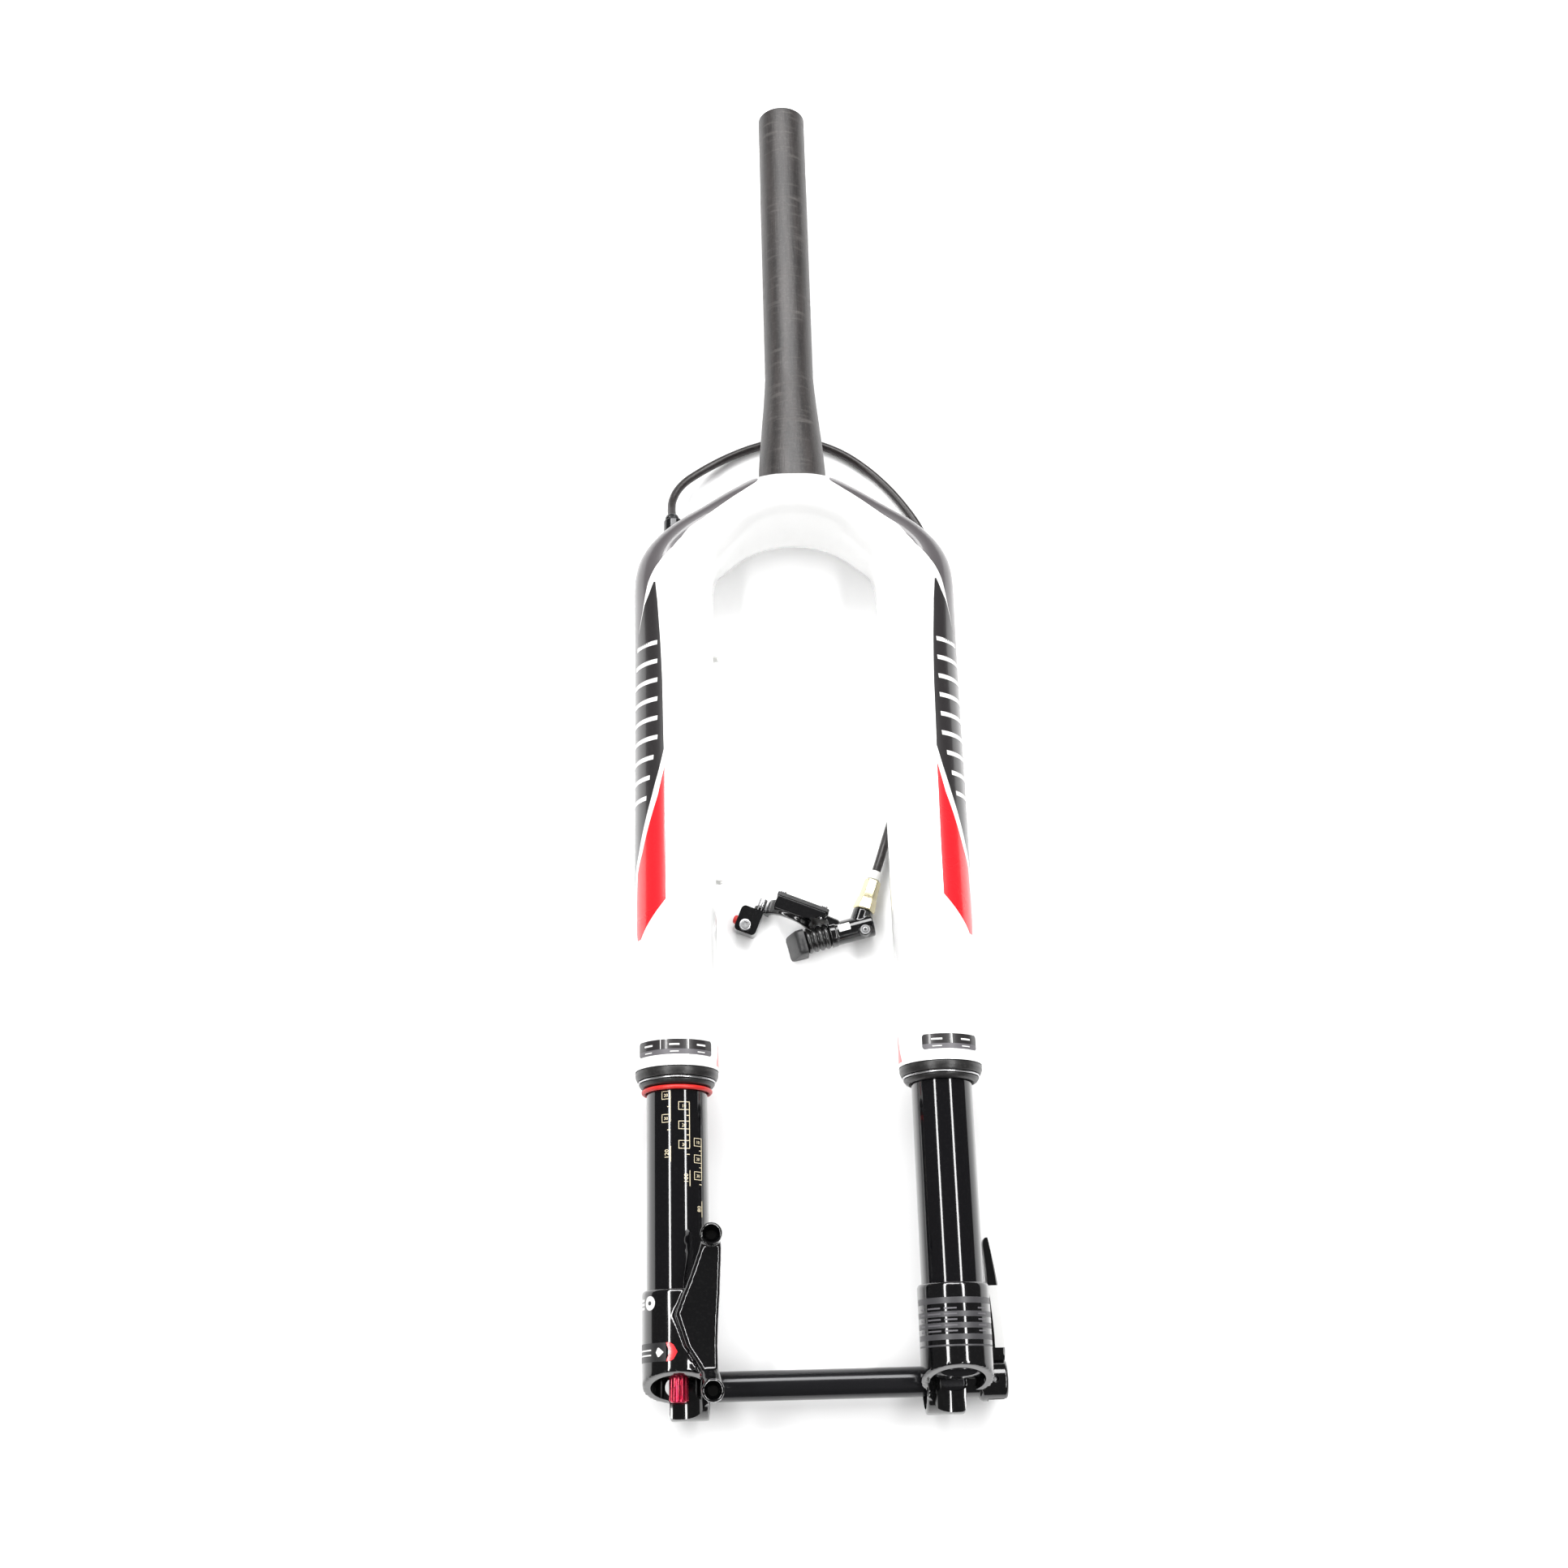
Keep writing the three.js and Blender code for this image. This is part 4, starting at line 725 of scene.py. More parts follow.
# seals, stanchions, top caps
seal = {
    "profile": [(16.3, -351.5), (17.4, -353), (18.9, -352.3), (20.1, -350.6), (19.3, -350.2), (19.3, -349.0),
                (21.0, -348.7), (21.9, -346.5), (21.9, -344.3), (20.1, -344.3), (20.1, -335.3), (16.3, -335.3)],
    "spring": (19.9, -349.6, 0.55),
}
stanchion = {"outer": 16, "inner": 14, "foot": -484, "top": -196}
topCap = {"profile": [(0, -41), (9, -41), (9, -36), (10.4, -36), (10.4, -30.5), (0, -30.5)], "socket": 5.5}


def ringProfile(radius, y, thickness, points):
    # the round section of an O-ring or a garter spring
    turns = [2 * math.pi * k / points for k in range(points)]
    return [(radius + thickness * math.cos(a), y + thickness * math.sin(a)) for a in turns]


for side, label in ((-1, "left"), (1, "right")):
    place = legPlace(side)
    addPiece("wiperSeal_" + label, revolve("seal", seal["profile"], place, 96, 0.35), "sealRubber", "chassis",
             ["wiper_seal_" + label])
    spring = revolve("spring", ringProfile(*seal["spring"], 12), place, 96)
    addPiece("sealSpring_" + label, spring, "machinedSteel", "chassis", ["seal_spring_" + label])
    wall = pipe(stanchion["outer"], stanchion["inner"], stanchion["foot"], stanchion["top"])
    addPiece("stanchion_" + label + "_tube", revolve("stanchion", wall, place, 160, 0.5), "glossStanchion", "lowers",
             ["stanchion_" + label])
    cap = revolve("cap", topCap["profile"], place, 96, 0.9)
    socket = revolve("socket", disc(topCap["socket"], -33.5, -10), place, 6)
    addPiece("topCap_" + label, carve(cap, [socket]), "blackAnodised", "chassis", ["top_cap_" + label], bevel=0.15)


def makeSwivel():
    place = legPlace(-1)
    hub = revolve("hub", disc(5.8, -30.8, -15.5), place, 64, 0.8)
    turn = Matrix.Rotation(-0.5, 3, "X") @ Matrix.Rotation(0.05, 3, "Z")

    def neckPlace(x, y, z):
        p = turn @ Vector((x, y, z))
        return place(p.x - 0.5, p.y - 18.6, p.z)

    profile = [(0, 0), (3.6, 0), (3.6, 5), (4.3, 5.4), (4.3, 7.6), (3.5, 9), (0, 9)]
    return merged("swivel", [hub, revolve("neck", profile, neckPlace, 48, 0.3)])


addPiece("hoseSwivel", makeSwivel(), "blackAnodised", "chassis", ["hose_swivel"])
print("steerer, seals and stanchions made")

# sag scales on the left stanchion
# each scale: degrees of the long line and of the boxes' far edge, first box height, box pitch, first number,
# number of boxes, travel, and the height where the line's tail starts
sagScales = {
    "ladders": ((79, 62, -356.4, 12.0, 20, 2, "120", -384.9), (115, 94, -362.1, 10.0, 10, 3, "100", -397.4),
                (142, 124, -380.6, 8.6, 10, 3, "80", -412.6)),
    "box": 4.0, "line": 0.65, "text": 2.3, "travelText": 3.2, "radius": 16.0, "tail": 8.0,
}


def wrappedText(text, place, degrees, v, height, radius, turned=False):
    data = bpy.data.curves.new("scaleText", "FONT")
    data.body, data.size, data.align_x, data.resolution_u = text, height, "CENTER", 2
    data.extrude = 0.05
    mesh = bakeMesh(looseObject(data), "scaleText")
    for vertex in mesh.vertices:
        x, y, z = vertex.co
        if turned:
            x, y = -y, x
        vertex.co = place(degrees + math.degrees(x / radius), v + y, 0.02 + z)
    return mesh


def makeScales():
    place = tubePoint(-1, sagScales["radius"])
    meshes = []
    for line, far, first, pitch, number, count, travel, end in sagScales["ladders"]:
        wide, box = sagScales["line"], sagScales["box"]
        foot = first - pitch * (count - 1) - box
        for top, bottom in ((first, foot), (end, end - sagScales["tail"])):
            meshes.append(skinPatch(place, [(top, line - wide, line + wide), (bottom, line - wide, line + wide)]))
        for k in range(count):
            top = first - pitch * k
            for v in (top, top - box):
                meshes.append(skinPatch(place, [(v, far, line), (v - 0.28, far, line)]))
            meshes.append(skinPatch(place, [(top, far, far + 1.0), (top - box, far, far + 1.0)]))
            middle = top - box - (pitch - box) / 2
            meshes.append(skinPatch(place, [(middle, line - 6, line), (middle - 0.35, line - 6, line)]))
            meshes.append(wrappedText(str(number + 10 * k), place, (far + line) / 2, top - 3.0,
                                      sagScales["text"], sagScales["radius"]))
        meshes.append(wrappedText(travel, place, line - 3.4, end - sagScales["tail"] / 2,
                                  sagScales["travelText"], sagScales["radius"], True))
    return merged("sagScales", meshes)


addPiece("sagScalePrint", makeScales(), "scaleGold", "lowers")

sagRing = {"radius": 17.5, "y": -354.5, "thickness": 1.2}
sagSection = ringProfile(sagRing["radius"], sagRing["y"], sagRing["thickness"], 16)
addPiece("sagRing", revolve("sagRing", sagSection, legPlace(-1), 128), "redRubber", "sag_ring", ["sag_ring"])

# castings
casting = {"radius": 18.4, "boss": 16.5, "inner": 55.0, "outer": 75.0, "bore": 16.3, "mouth": 14.2, "slant": -0.375,
           "hubSeat": 13.6, "headSeat": 11.0, "axle": 7.8, "shaft": 5.3, "voxel": 0.75}
# gusset sections: height, left and right across the leg, front and rear
gusset = [
    (-428.3, -56.6, -48.4, 0, 8), (-437.8, -58.6, -47.6, -1.5, 8), (-450.8, -63.5, -48.2, 0.6, 5),
    (-457.5, -66.2, -48.6, -4.6, 4), (-459, -67, -48.6, -15, 3.6), (-469, -71, -49.4, -16, 1.5),
    (-484, -66, -50.2, -17, -1), (-495, -59, -50, -16, -0.5), (-502, -57.4, -48.2, -12, 6), (-510, -56.8, -48.4, -8, 8),
]
posts = {
    "x": -52.5, "heights": (-431.8, -506.0), "profile": [(0, 0.5), (5.0, 0.5), (5.6, 9), (5.6, 14), (0, 14)],
    "hole": [(0, 1.5), (2.6, 1.5), (2.6, 10.5), (4.4, 13), (4.5, 20), (0, 20)],
}


def makeCasting(side):
    place = legPlace(side)
    turns = [2 * math.pi * k / 96 for k in range(96)]
    radius, slope = casting["radius"], math.tan(casting["slant"])
    spots = [(radius * math.cos(a), radius * math.sin(a)) for a in turns]
    foot = [place(x, axleY - 1 - z * slope, z) for x, z in spots]
    steps = ((radius, -480), (radius, -470), (radius, castingTop - 1.6), (radius - 0.4, castingTop - 0.3),
             (radius - 1.0, castingTop))
    rings = [foot] + [[place(r * math.cos(a), y, r * math.sin(a)) for a in turns] for r, y in steps]
    parts = [loft("barrel", rings)]
    x0, x1 = sorted((side * (casting["inner"] - legX), side * (casting["outer"] - legX)))
    axleDepth = axleZ - legZ
    parts.append(crosswise("boss", disc(casting["boss"], x0, x1), place, axleY, axleDepth, 96, 1.2))
    web = [(axleY + 32, -10), (axleY + 6, -35.3), (axleY - 12, -28), (axleY - 9, -4), (axleY + 10, 4)]
    parts.append(prism("web", web, x0, x1, lambda y, z, x: place(x, y, z)))
    if side < 0:
        sections = []
        for y, left, right, front, rear in gusset:
            outline = [(left, front), (left, rear - 1.5), (left + 2, rear), (right - 1, rear), (right, rear - 1),
                       (right, front)]
            sections.append([forkPoint(x, y, z) for x, z in outline])
        parts.append(loft("gusset", sections))
        parts += [upright("post", posts["profile"], forkPoint, posts["x"], y) for y in posts["heights"]]
    body = fuse("casting", parts, casting["voxel"], 5)
    mouth, hubSide = casting["mouth"], (-40, x0 + 2) if side > 0 else (x1 - 2, 40)
    cutters = [
        revolve("bore", disc(casting["bore"], -484.3, -400), place, 128),
        revolve("mouth", [(0, -560), (mouth + 0.4, -560), (mouth, -496), (mouth, footY), (0, footY)], place, 96),
        revolve("shaft", disc(casting["shaft"], -500, -470), place, 48),
        crosswise("axleBore", disc(casting["axle"], -40, 40), place, axleY, axleDepth, 64),
        crosswise("hubSeat", disc(casting["hubSeat"], *hubSide), place, axleY, axleDepth, 96),
    ]
    if side > 0:
        seat = disc(casting["headSeat"], x1 + 0.3, x1 + 60)
        cutters.append(crosswise("headSeat", seat, place, axleY, axleDepth, 96))
    else:
        for y in posts["heights"]:
            cutters.append(upright("hole", posts["hole"], forkPoint, posts["x"], y))
            cutters.append(upright("face", disc(9, 14, 30), forkPoint, posts["x"], y, 24))
    return carve(body, cutters)


for side, label in ((-1, "left"), (1, "right")):
    addPiece("casting_" + label + "_body", makeCasting(side), "castBlack", "lowers", ["casting_" + label], crease=38)
print("castings made")

# labels on the castings: a round one, a pointed one and a striped table, all without wording
labels = {"radius": 18.42}
leftLabel, leftAbove = tubePoint(-1, labels["radius"]), tubePoint(-1, labels["radius"] + 0.1)


def roundRows(middle, degrees, v, radius):
    # rows of a round spot on a tube
    rows = []
    for k in range(13):
        h = math.cos(math.pi * k / 12)
        half = math.sqrt(max(0.0, 1 - h * h)) * degrees + 0.3
        rows.append((v + h * radius, middle - half, middle + half))
    return rows


addPiece("roundLabel", skinPatch(leftLabel, roundRows(41, 11, -462.7, 3.5)), "markWhite", "lowers")
addPiece("roundLabelDot", skinPatch(leftAbove, roundRows(41, 3.2, -462.7, 1.0)), "labelBlack", "lowers")
sideLines = [skinPatch(leftLabel, [(v, 4, 25), (v - 1.1, 4, 25)]) for v in (-460.4, -462.4, -464.4)]
addPiece("sideLabelLines", merged("sideLines", sideLines), "markWhite", "lowers")
pointed = [(-482.0, 2, 72), (-484.6, 2, 72), (-491.0, 2, 72)]
addPiece("dampingLabel", skinPatch(leftLabel, pointed), "labelBlack", "lowers")
redTip = [(-482.0, 72, 78), (-483.2, 73, 84), (-486.6, 78, 90), (-490.0, 73, 84), (-491.0, 72, 78)]
addPiece("dampingLabelTip", skinPatch(leftLabel, redTip), "wedgeRed", "lowers")
arrow = [skinPatch(leftAbove, [(-484.4, 58, 60), (-486.6, 54, 68), (-488.8, 58, 60)])]
arrow += [skinPatch(leftAbove, [(v, 8, 44), (v - 0.7, 8, 44)]) for v in (-485.0, -487.4)]
addPiece("dampingLabelArrow", merged("arrow", arrow), "markWhite", "lowers")

rightLabel, rightAbove = tubePoint(1, labels["radius"]), tubePoint(1, labels["radius"] + 0.1)
stripes = [skinPatch(rightLabel, [(v, 14, 172), (v - tall, 14, 172)])
           for v, tall in ((-463.6, 3.0), (-470.4, 2.7), (-475.9, 2.7), (-481.4, 2.7), (-486.4, 0.9))]
addPiece("pressureTable", merged("stripes", stripes), "labelGrey", "lowers")
cells = []
for row in range(5):
    v = -468.6 - 2.75 * row
    for a, b in ((150, 160), (118, 142), (92, 112), (38, 56)):
        cells.append(skinPatch(rightAbove, [(v, a, b), (v - 0.75, a, b)]))
addPiece("pressureTableMarks", merged("cells", cells), "plateGrey", "lowers")


# knob and air cap
knob = {"radius": 4.9, "core": 4.25, "rib": 0.95, "top": -496.9, "foot": -509.9, "flutes": 12}
airCap = {"radius": 12.6, "neck": 3.8, "depth": 6.4, "dome": 3.2, "flat": 8.6, "slot": 1.6}
footNut = {"radius": 9, "hole": 5.3}


def ribTree():
    # Geometry Nodes: upright ribs set on a circle, realized and given their material
    tree, given, out = nodeGroup("GeometryNodeTree", "ribRing", [
        ("Geometry", geometrySocket, None), ("Count", "NodeSocketInt", 12), ("Ring Radius", floatSocket, 4.6),
        ("Rib Radius", floatSocket, 0.8), ("Height", floatSocket, 10.0), ("Material", "NodeSocketMaterial", None),
    ], [("Geometry", geometrySocket)])
    circle = put(tree, "GeometryNodeMeshCircle", {"Vertices": given["Count"], "Radius": given["Ring Radius"]})
    rib = put(tree, "GeometryNodeMeshCylinder", {"Vertices": 16, "Side Segments": 1, "Radius": given["Rib Radius"],
                                                 "Depth": given["Height"]})
    ribs = put(tree, "GeometryNodeInstanceOnPoints", {"Points": circle.outputs[0], "Instance": rib.outputs[0]})
    both = tree.nodes.new("GeometryNodeJoinGeometry")
    tree.links.new(ribs.outputs[0], both.inputs[0])
    tree.links.new(given["Geometry"], both.inputs[0])
    real = put(tree, "GeometryNodeRealizeInstances", {0: both.outputs[0]})
    done = put(tree, "GeometryNodeSetMaterial", {"Geometry": real.outputs[0], "Material": given["Material"]})
    tree.links.new(done.outputs[0], out[0])
    return tree


def runTree(core, tree, values):
    # runs a node tree on a core made in mm about +Z, and returns a plain mesh
    made = looseObject(core)
    modifier = made.modifiers.new(tree.name, "NODES")
    modifier.node_group = tree
    keys = {item.name: item.identifier for item in tree.interface.items_tree if item.in_out == "INPUT"}
    for label, value in values.items():
        modifier[keys[label]] = value
    return bakeMesh(made, core.name)


def movedMesh(mesh, place):
    # from mm about +Z to its place along the place's Y axis
    for vertex in mesh.vertices:
        x, y, z = vertex.co
        vertex.co = place(x, z, -y)
    return mesh


def rawPlace(x, y, z):
    return Vector((x, -z, y))


def makeKnob():
    middle, height = (knob["top"] + knob["foot"]) / 2, knob["top"] - knob["foot"]
    core = revolve("knob", disc(knob["core"], -height / 2, height / 2), rawPlace, 64, 0.6)
    values = {"Count": knob["flutes"], "Ring Radius": knob["radius"] - knob["rib"], "Rib Radius": knob["rib"],
              "Height": height - 1.6, "Material": finishes["redKnob"][0]}
    return movedMesh(runTree(core, ribTree(), values), shifted(legPlace(-1), 0, middle, 0))


addPiece("reboundKnob", makeKnob(), "redKnob", "knob", ["rebound_knob"], bevel=0.12)


def makeAirCap():
    place = legPlace(1)
    top = footY - 0.3
    radius, neck, rim, slotHalf = airCap["radius"], airCap["neck"], top - airCap["depth"], airCap["slot"]
    steps = [(0, top - 6), (neck, top - 6), (neck, top), (radius, top), (radius, rim)]
    turns = [k * math.pi / 16 for k in range(1, 8)]
    dome = [(radius * math.cos(a), rim - airCap["dome"] * math.sin(a)) for a in turns]
    cap = revolve("airCap", steps + dome + [(0, rim - airCap["dome"])], place, 96)
    flat = block("flat", (-20, top - 20, airCap["flat"]), (20, top - 5.4, 30), place)
    slot = block("slot", (-14, top - 14, -slotHalf), (14, top - 7.9, slotHalf), place)
    return carve(cap, [flat, slot])


addPiece("airCapDome", makeAirCap(), "blackAnodised", "valve_cap", ["air_cap"], bevel=0.25, crease=30)


def makeFootNut():
    place = legPlace(-1)
    nut = revolve("nut", disc(footNut["radius"], footY - 4.3, footY - 0.3), place, 6)
    return carve(nut, [revolve("hole", disc(footNut["hole"], -510, -480), place, 48)])


addPiece("footNut", makeFootNut(), "machinedSteel", "lowers", ["foot_nut_left"], bevel=0.4)
print("knob, cap and labels made")

# axle, head and lever
axle = {"outer": 7.5, "inner": 3.5, "end": 75}
head = {"start": 75.3, "neck": 8.5, "slot": 87.0, "half": 4.5,
        "drum": [(0, 83), (9.4, 83), (10.5, 84.4), (10.5, 96.0), (9.6, 97.0), (0, 97.0)]}
lever = {"pivot": 90.2, "length": 71.0, "half": 6.5, "root": 2.9, "pinHole": 1.8, "pin": 1.5}
axlePlace = shifted(forkPoint, 0, axleY, axleZ)
tubeProfile = pipe(axle["outer"], axle["inner"], -axle["end"], axle["end"])
addPiece("axleTube", crosswise("axleTube", tubeProfile, axlePlace, 0, 0, 96, 0.6), "blackAnodised", "axle",
         ["axle_tube"])


def leverPinHole():
    return upright("pin", disc(lever["pinHole"], -20, 20), axlePlace, lever["pivot"], 0, 32)


def makeHead():
    profiles = (disc(head["neck"], head["start"], 85), head["drum"])
    blank = fuse("head", [crosswise("turned", profile, axlePlace, 0, 0, 64) for profile in profiles], 0.4, 4)
    slot = block("slot", (head["slot"], -20, -head["half"]), (102, 20, head["half"]), axlePlace)
    bore = crosswise("bore", disc(axle["inner"], 70, head["slot"] + 2), axlePlace, 0, 0, 48)
    return carve(blank, [slot, bore, leverPinHole()])


addPiece("axleHead", makeHead(), "castBlack", "axle", ["axle_head"], bevel=0.15)


def bezierPoints(start, control, end, steps=12):
    start, control, end = Vector(start), Vector(control), Vector(end)
    return [tuple(start * (1 - t) ** 2 + control * 2 * t * (1 - t) + end * t * t)
            for t in (k / steps for k in range(1, steps + 1))]


def leverOutline():
    x, long = lever["pivot"], lever["length"]
    points = [(x + lever["root"] * math.cos(a), lever["root"] * math.sin(a))
              for a in (math.pi + math.pi * k / 12 for k in range(13))]
    points += bezierPoints(points[-1], (x + 7.4, 2), (x + 6.4, 26))
    points += bezierPoints(points[-1], (x + 5.4, 52), (x + 1.4, long))
    points += bezierPoints(points[-1], (x - 1.6, long + 0.6), (x - 1.8, long - 4), 6)
    points += bezierPoints(points[-1], (x + 1.2, 38), (x - 2.6, 12))
    return points


def leverTaper(y):
    return 1.0 - 0.42 * max(0.0, (y - 20) / 51.0)


def makeLever():
    # the blade narrows and rounds towards its tip
    outline = leverOutline()
    rings = []
    for share in (-1.0, -0.94, -0.8, 0.8, 0.94, 1.0):
        shrink = 1.0 - max(0.0, abs(share) - 0.8) * 2.2
        ring = []
        for x, y in outline:
            inset = 90.6 + (x - 90.6) * (0.62 + 0.38 * shrink) if y > 12 else x
            ring.append(axlePlace(inset, y, lever["half"] * leverTaper(y) * share))
        rings.append(ring)
    blade = loft("lever", rings)
    cheeks = [block("cheek", (80, -14, s * 9.2 - 5), (100, 11.5, s * 9.2 + 5), axlePlace) for s in (-1, 1)]
    return carve(blade, cheeks + [leverPinHole()])


addPiece("axleLever", makeLever(), "castBlack", "lever", ["axle_lever"], bevel=0.3, crease=34)


def leverBand(y0, y1, finish, name, lift):
    # a painted band round the lever's rear half
    outline = leverOutline()
    outer = sorted([p for p in outline[13:38] if y0 <= p[1] <= y1], key=lambda p: p[1])
    rings = []
    for x, y in outer:
        half = lever["half"] * leverTaper(y) + lift
        section = [(x - 5.2, half), (x - 0.5, half), (x + lift, half * 0.86)]
        section += [(across, -z) for across, z in reversed(section)]
        rings.append([axlePlace(across, y, z) for across, z in section])
    return addPiece(name, loft(name, rings), finish, "lever", bevel=0.1)


leverBand(14, 48, "markWhite", "leverBandWhite", 0.12)
leverBand(40, 46, "wedgeRed", "leverBandRed", 0.2)
leverPin = upright("leverPin", disc(lever["pin"], -8.2, 8.2), axlePlace, lever["pivot"], 0, 32, 0.3)
addPiece("leverPin", leverPin, "machinedSteel", "axle", ["lever_pin"])
print("axle made")

# brake-hose guides
guide = {"z": -15.6, "radius": 4.4, "bore": 2.6, "height": 15.0, "starts": (-98.0, -234.0), "gap": 34}


def makeGuide(start):
    leftPlace = legPlace(-1)
    place = shifted(leftPlace, tube, start, guide["z"])
    turns = [math.radians(guide["gap"] + (360 - 2 * guide["gap"]) * k / 40) for k in range(41)]
    outline = [(guide["radius"] * math.cos(a), guide["radius"] * math.sin(a)) for a in turns]
    outline += [(guide["bore"] * math.cos(a), guide["bore"] * math.sin(a)) for a in reversed(turns)]
    clip = prism("clip", outline, 0, guide["height"], lambda x, z, y: place(x, y, z))
    foot = block("foot", (-6.6, 2, -3), (-2.4, 13, 3.4), place)
    leg = revolve("leg", disc(tube + 0.05, start - 5, start + 22), leftPlace, 96)
    return carve(fuse("guide", [clip, foot], 0.25, 3), [leg])


for start, label in zip(guide["starts"], ("top", "bottom")):
    addPiece("hoseGuide_" + label, makeGuide(start), "whitePlastic", "chassis", ["hose_guide_" + label])

# remote
remote = {"barrel": 6.6, "mouth": 20.0, "elbow": 10.2, "bar": 11.4, "bleed": (-3.2, 0.6), "bleedTop": 6.6,
          "screws": (-12.6, 11.6), "pinHole": 1.8, "voxel": 0.33}
barPlace = shifted(clampPlace, -5.5, 0, 1.8)
pinPlace = shifted(clampPlace, -22.4, 0, 4.4)


def screwHoles(low, high):
    return [revolve("hole", disc(1.3, low, high), shifted(clampPlace, x, 0, 15), 24) for x in remote["screws"]]


def makeRemoteBody():
    tank = [(-15, -7.2), (3.4, -7.2), (9.5, -4.4), (14, -2), (14, 0), (-15, 0)]
    shoulder = [(9, -4.4), (15, -2.6), (18, -7), (25, -5.2), (21.6, -0.6), (12, 0)]
    parts = [
        revolve("barrel", disc(remote["barrel"], -5, remote["mouth"]), barrelPlace, 64, 0.7),
        revolve("collar", disc(remote["barrel"] + 0.4, 16.4, remote["mouth"]), barrelPlace, 64, 0.5),
        revolve("elbow", disc(5.8, 0, remote["elbow"]), elbowPlace, 64, 0.5),
        prism("tank", tank, 1.2, 17.5, clampPlace, 1.4),
        prism("shoulder", shoulder, 3.4, 14.4, clampPlace, 0.8),
        revolve("saddle", disc(14, -9.6, -1), barPlace, 96, 0.9),
        revolve("eye", disc(3.4, -9.6, -7), pinPlace, 48),
        block("arm", (-22.4, -9.6, 2), (-14.5, -7, 6.8), clampPlace),
        upright("bleed", disc(3.2, -1, remote["bleedTop"]), barrelPlace, *remote["bleed"], 48, 0.5),
    ]
    body = fuse("remoteBody", parts, remote["voxel"], 3)
    cutters = [
        block("bench", (-80, -80, -40), (80, 80, 0.5), clampPlace),
        revolve("bar", disc(remote["bar"], -40, 20), barPlace, 96),
        revolve("cylinder", disc(3.8, 1.5, 25), barrelPlace, 48),
        upright("bleedHole", disc(1.8, 3, 12), barrelPlace, *remote["bleed"], 32),
        block("oil", (7.4, -3, 3.4), (9.6, 4, 15), clampPlace),
        revolve("pinHole", disc(remote["pinHole"], -40, 0), pinPlace, 32),
    ]
    return carve(body, cutters + screwHoles(-5, 4))


addPiece("remoteBody", makeRemoteBody(), "remoteBlack", "chassis", ["remote_body"], crease=40)


def makeCover():
    outline = [(-15.5, 0.6), (14.8, 0.6), (14.8, 18.1), (-15.5, 18.1)]
    plate = prism("cover", outline, 0.3, 2.3, lambda x, z, y: clampPlace(x, y, z), 1.8)
    bar = revolve("bar", disc(remote["bar"] + 0.3, -40, 20), barPlace, 96)
    return carve(plate, [bar] + screwHoles(-8, 8))


addPiece("reservoirCover", makeCover(), "mouldedBlack", "chassis", ["reservoir_cover"], bevel=0.3)
for number, x in enumerate(remote["screws"], 1):
    screwPlace = shifted(clampPlace, x, 0, 15)
    screw = merged("screw", [revolve("shank", disc(1, -4, 3), screwPlace, 24),
                             revolve("head", disc(1.9, 2.6, 3.9), screwPlace, 32, 0.4)])
    addPiece(f"coverScrew_{number}", screw, "machinedSteel", "chassis", [f"cover_screw_{number}"])

pin = merged("pin", [revolve("shank", disc(1.5, -19.7, -5), pinPlace, 32, 0.3),
                     revolve("head", disc(2.3, -6.7, -1.6), pinPlace, 48, 0.5)])
addPiece("hingePin", pin, "machinedSteel", "chassis", ["hinge_pin"])

jaw = {"left": -32.0, "right": -19.5, "front": -25.0, "back": -9.9, "top": 10.0, "bolt": (-26.4, -21),
       "plug": (-18.6, 5.6)}


def makeJaw():
    left, right, front, back = jaw["left"], jaw["right"], jaw["front"], jaw["back"]
    outline = [(left + 1.4, front), (right - 1.4, front), (right, front + 1.6), (right, back), (left + 1.4, back),
               (left, back - 1.6), (left, front + 1.6)]
    solid = prism("jaw", outline, 0.9, jaw["top"], clampPlace, 2.2)
    cutters = [
        revolve("scoop", disc(remote["bar"], -40, 20), shifted(clampPlace, (left + right) / 2, 0, -8.6), 96),
        revolve("pinHole", disc(remote["pinHole"], -20, 0), pinPlace, 32),
        upright("boltHole", disc(2.3, -5, 20), clampPlace, *jaw["bolt"], 32),
        crosswise("plugHole", disc(2.9, left - 5, left + 3), clampPlace, *jaw["plug"], 48),
    ]
    return carve(solid, cutters)


addPiece("clampJaw", makeJaw(), "remoteBlack", "jaw", ["clamp_jaw"], bevel=0.7)
boltHead = carve(upright("head", disc(3.2, 10.3, 12.8), clampPlace, *jaw["bolt"], 64, 0.5),
                 [upright("socket", disc(1.8, 11.2, 15), clampPlace, *jaw["bolt"], 6)])
bolt = merged("bolt", [upright("shank", disc(2, 1, 12), clampPlace, *jaw["bolt"], 32), boltHead])
addPiece("clampBolt", bolt, "machinedSteel", "jaw", ["clamp_bolt"], crease=25)
plugProfile = [(0, -34.4), (1.2, -34.3), (2.1, -33.9), (2.6, -33.0), (2.6, -29.3), (0, -29.3)]
addPiece("jawPlug", crosswise("plug", plugProfile, clampPlace, *jaw["plug"], 48), "redRubber", "jaw", ["jaw_plug"])

bellows = {"start": 20.3, "folds": 4, "pitch": 3.4, "valley": 5.7, "crest": 7.1, "inner": 5.0}


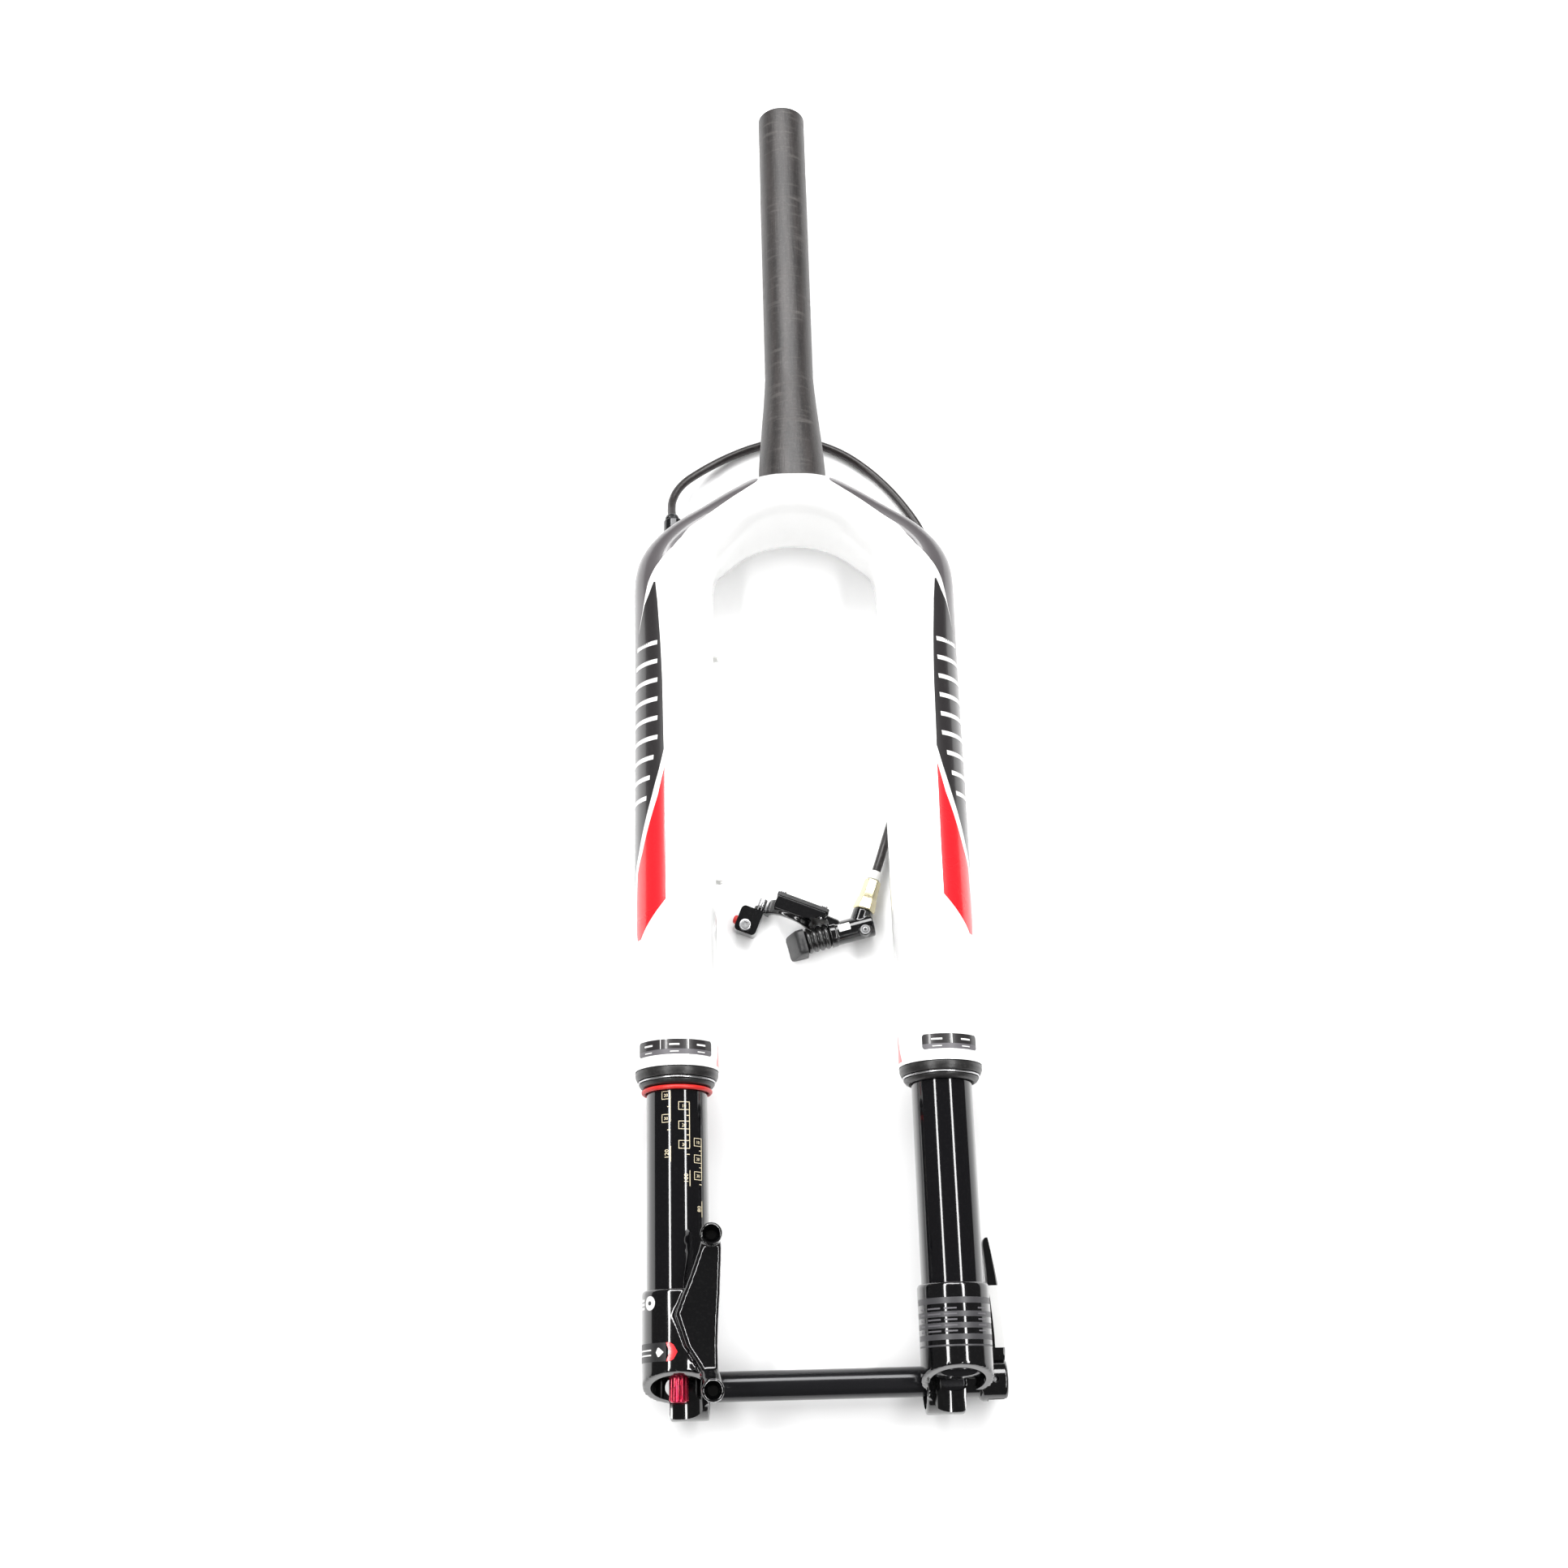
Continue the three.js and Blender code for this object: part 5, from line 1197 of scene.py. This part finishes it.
def bellowsTree():
    # Geometry Nodes: one fold repeated along an axis, realized and given its material
    tree, given, out = nodeGroup("GeometryNodeTree", "foldStack", [
        ("Geometry", geometrySocket, None), ("Folds", "NodeSocketInt", 4), ("Pitch", floatSocket, 3.4),
        ("Material", "NodeSocketMaterial", None),
    ], [("Geometry", geometrySocket)])
    step = put(tree, "ShaderNodeCombineXYZ", {2: given["Pitch"]}).outputs[0]
    line = put(tree, "GeometryNodeMeshLine", {"Count": given["Folds"], "Offset": step})
    folds = put(tree, "GeometryNodeInstanceOnPoints", {"Points": line.outputs[0], "Instance": given["Geometry"]})
    real = put(tree, "GeometryNodeRealizeInstances", {0: folds.outputs[0]})
    joined = put(tree, "GeometryNodeMergeByDistance", {"Geometry": real.outputs[0], "Distance": 0.002})
    done = put(tree, "GeometryNodeSetMaterial", {"Geometry": joined.outputs[0], "Material": given["Material"]})
    tree.links.new(done.outputs[0], out[0])
    return tree


def makeBellows():
    inner, valley, crest, pitch = (bellows[key] for key in ("inner", "valley", "crest", "pitch"))
    bulge = [(valley + (crest - valley) * math.sin(math.pi * k / 12) ** 0.7, pitch * k / 12) for k in range(13)]
    fold = revolve("bellows", [(inner, 0)] + bulge + [(inner, pitch)], rawPlace, 64)
    values = {"Folds": bellows["folds"], "Pitch": pitch, "Material": finishes["bellowsRubber"][0]}
    return movedMesh(runTree(fold, bellowsTree(), values), shifted(barrelPlace, 0, bellows["start"], 0))


sleeve = addPiece("bellowsSleeve", makeBellows(), "bellowsRubber", None, ["bellows"], crease=60)
sleeveEnd = bellows["start"] + bellows["folds"] * bellows["pitch"]
tuple(barrelPlace(0, bellows["start"], 0))
tuple(barrelPlace(0, sleeveEnd, 0))
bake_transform(sleeve)


def makeThumb():
    end = sleeveEnd
    outline = [(-7.8, end + 0.3), (7.6, end + 0.3)]
    outline += bezierPoints((7.6, end + 0.3), (8.4, end + 3), (6.8, end + 5), 6)
    outline += bezierPoints((6.8, end + 5), (0, end + 8), (-6.4, end + 10), 10)
    outline += bezierPoints((-6.4, end + 10), (-8.2, end + 8), (-8, end + 3), 6)
    rings = []
    for x, share in ((-8, 0.72), (-7.4, 0.9), (-5.6, 1.0), (0, 0.96), (4.2, 1.0), (5.8, 0.9), (6.4, 0.72)):
        squeeze = 0.6 + 0.4 * share
        rings.append([barrelPlace(x, end + 0.3 + (y - end - 0.3) * squeeze, z * share) for z, y in outline])
    paddle = loft("paddle", rings)
    return merged("thumb", [paddle, revolve("plunger", disc(3.5, 13.3, end + 4), barrelPlace, 48)])


addPiece("thumbPaddle", makeThumb(), "mouldedBlack", "button", ["thumb_button"], crease=50)
bleedTop = remote["bleedTop"]
bleedPlug = carve(upright("bleedPlug", disc(1.5, 3.3, bleedTop + 0.4), barrelPlace, *remote["bleed"], 48, 0.25),
                  [upright("socket", disc(0.8, bleedTop - 1.4, bleedTop + 2), barrelPlace, *remote["bleed"], 6)])
addPiece("bleedPlug", bleedPlug, "machinedSteel", "chassis", ["bleed_screw"])
washer = upright("washer", pipe(2.7, 1.8, bleedTop - 0.2, bleedTop + 0.15), barrelPlace, *remote["bleed"], 48)
addPiece("bleedSeat", washer, "machinedSteel", "chassis")


def makeNut():
    start, turns = remote["elbow"] + 0.3, [math.pi * k / 3 for k in range(6)]
    bore = revolve("bore", disc(2.8, start - 1, start + 22), elbowPlace, 48)
    halves = []
    for steps in (((6.0, 0), (6.4, 0.6), (5.6, 7.0), (5.2, 7.5)), ((5.2, 7), (5.1, 8), (4.7, 17.8), (4.3, 18.6))):
        rings = [[elbowPlace(r * math.cos(a), start + y, r * math.sin(a)) for a in turns] for r, y in steps]
        halves.append(carve(loft("half", rings), [bore]))
    return merged("nut", halves)


addPiece("hoseNut", makeNut(), "paleGold", "chassis", ["hose_nut"], bevel=0.25)


def makeSticker():
    # a plain white label on the barrel
    def place(degrees, v, lift):
        radius, angle = remote["barrel"] + 0.02 + lift, math.radians(degrees)
        return barrelPlace(radius * math.cos(angle), v, radius * math.sin(angle))
    return skinPatch(place, [(8.2, 62, 96), (8.6, 60, 98), (14.4, 60, 98), (14.8, 62, 96)])


addPiece("remoteSticker", makeSticker(), "markWhite", "chassis")
print("remote made")

# inner pieces keep their CAD shape and get a finish
innerFinish = {
    "sinteredBronze": ["upper_bushing_left", "upper_bushing_right", "lower_bushing_left", "lower_bushing_right"],
    "oilFoam": ["foam_ring_left", "foam_ring_right"], "mouldedBlack": ["air_piston"], "sealRubber": ["top_out_bumper"],
    "machinedSteel": ["damper_head", "damper_cartridge", "damper_gland", "damper_piston", "damper_shaft", "air_shaft",
                      "air_seal_head", "air_valve", "draw_rod", "master_piston"],
}
for finish, innerNames in innerFinish.items():
    for label in innerNames:
        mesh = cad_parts[label].data
        mesh.materials.clear()
        mesh.materials.append(finishes[finish][0])


# floor and light
studio = {"floor": 6.0, "floorLevel": -0.0002, "tones": ((0.93, 0.93, 0.93, 1), (0.95, 0.95, 0.95, 1)), "world": 0.1}
# each light: where it stands, what it faces, its width and height, its power
lights = {
    "topPanel": ((-0.1, 1.3, 1.7), (0, 0, 0), (1.6, 0.9), 46),
    "leftStrip": ((-0.75, -0.1, 1.35), (0, -0.1, 0), (0.16, 3.0), 26),
    "rightStrip": ((0.75, -0.1, 1.35), (0, -0.1, 0), (0.16, 3.0), 26),
}


def makeFloor():
    corners = [(x * studio["floor"], y * studio["floor"], studio["floorLevel"])
               for x, y in ((-1, -1), (1, -1), (1, 1), (-1, 1))]
    mesh = cleanMesh("studioFloor", corners, [(0, 1, 2, 3)], False)
    material = bpy.data.materials.new("studioFloor")
    material.use_nodes = True
    tree = material.node_tree
    shader = tree.nodes["Principled BSDF"]
    tone = mixColours(tree, objectNoise(tree, 2.0), *studio["tones"])
    tree.links.new(tone, shader.inputs["Base Color"])
    shader.inputs["Roughness"].default_value = 0.7
    mesh.materials.append(material)
    floor = looseObject(mesh)


def softLight(name, at, target, size, power):
    data = bpy.data.lights.new(name, "AREA")
    data.shape, data.size, data.size_y, data.energy = "RECTANGLE", size[0], size[1], power
    light = bpy.data.objects.new(name, data)
    bpy.context.scene.collection.objects.link(light)
    light.location = at
    back = (Vector(at) - Vector(target)).normalized()
    side = Vector((0, 1, 0)).cross(back).normalized()
    light.rotation_euler = Matrix((side, back.cross(side), back)).transposed().to_euler()


makeFloor()
for name, settings in lights.items():
    softLight(name, *settings)
world = bpy.data.worlds.new("studioWorld")
world.use_nodes = True
world.node_tree.nodes["Background"].inputs[0].default_value = (1, 1, 1, 1)
world.node_tree.nodes["Background"].inputs[1].default_value = studio["world"]
bpy.context.scene.world = world
bpy.context.scene.view_settings.view_transform = "Standard"
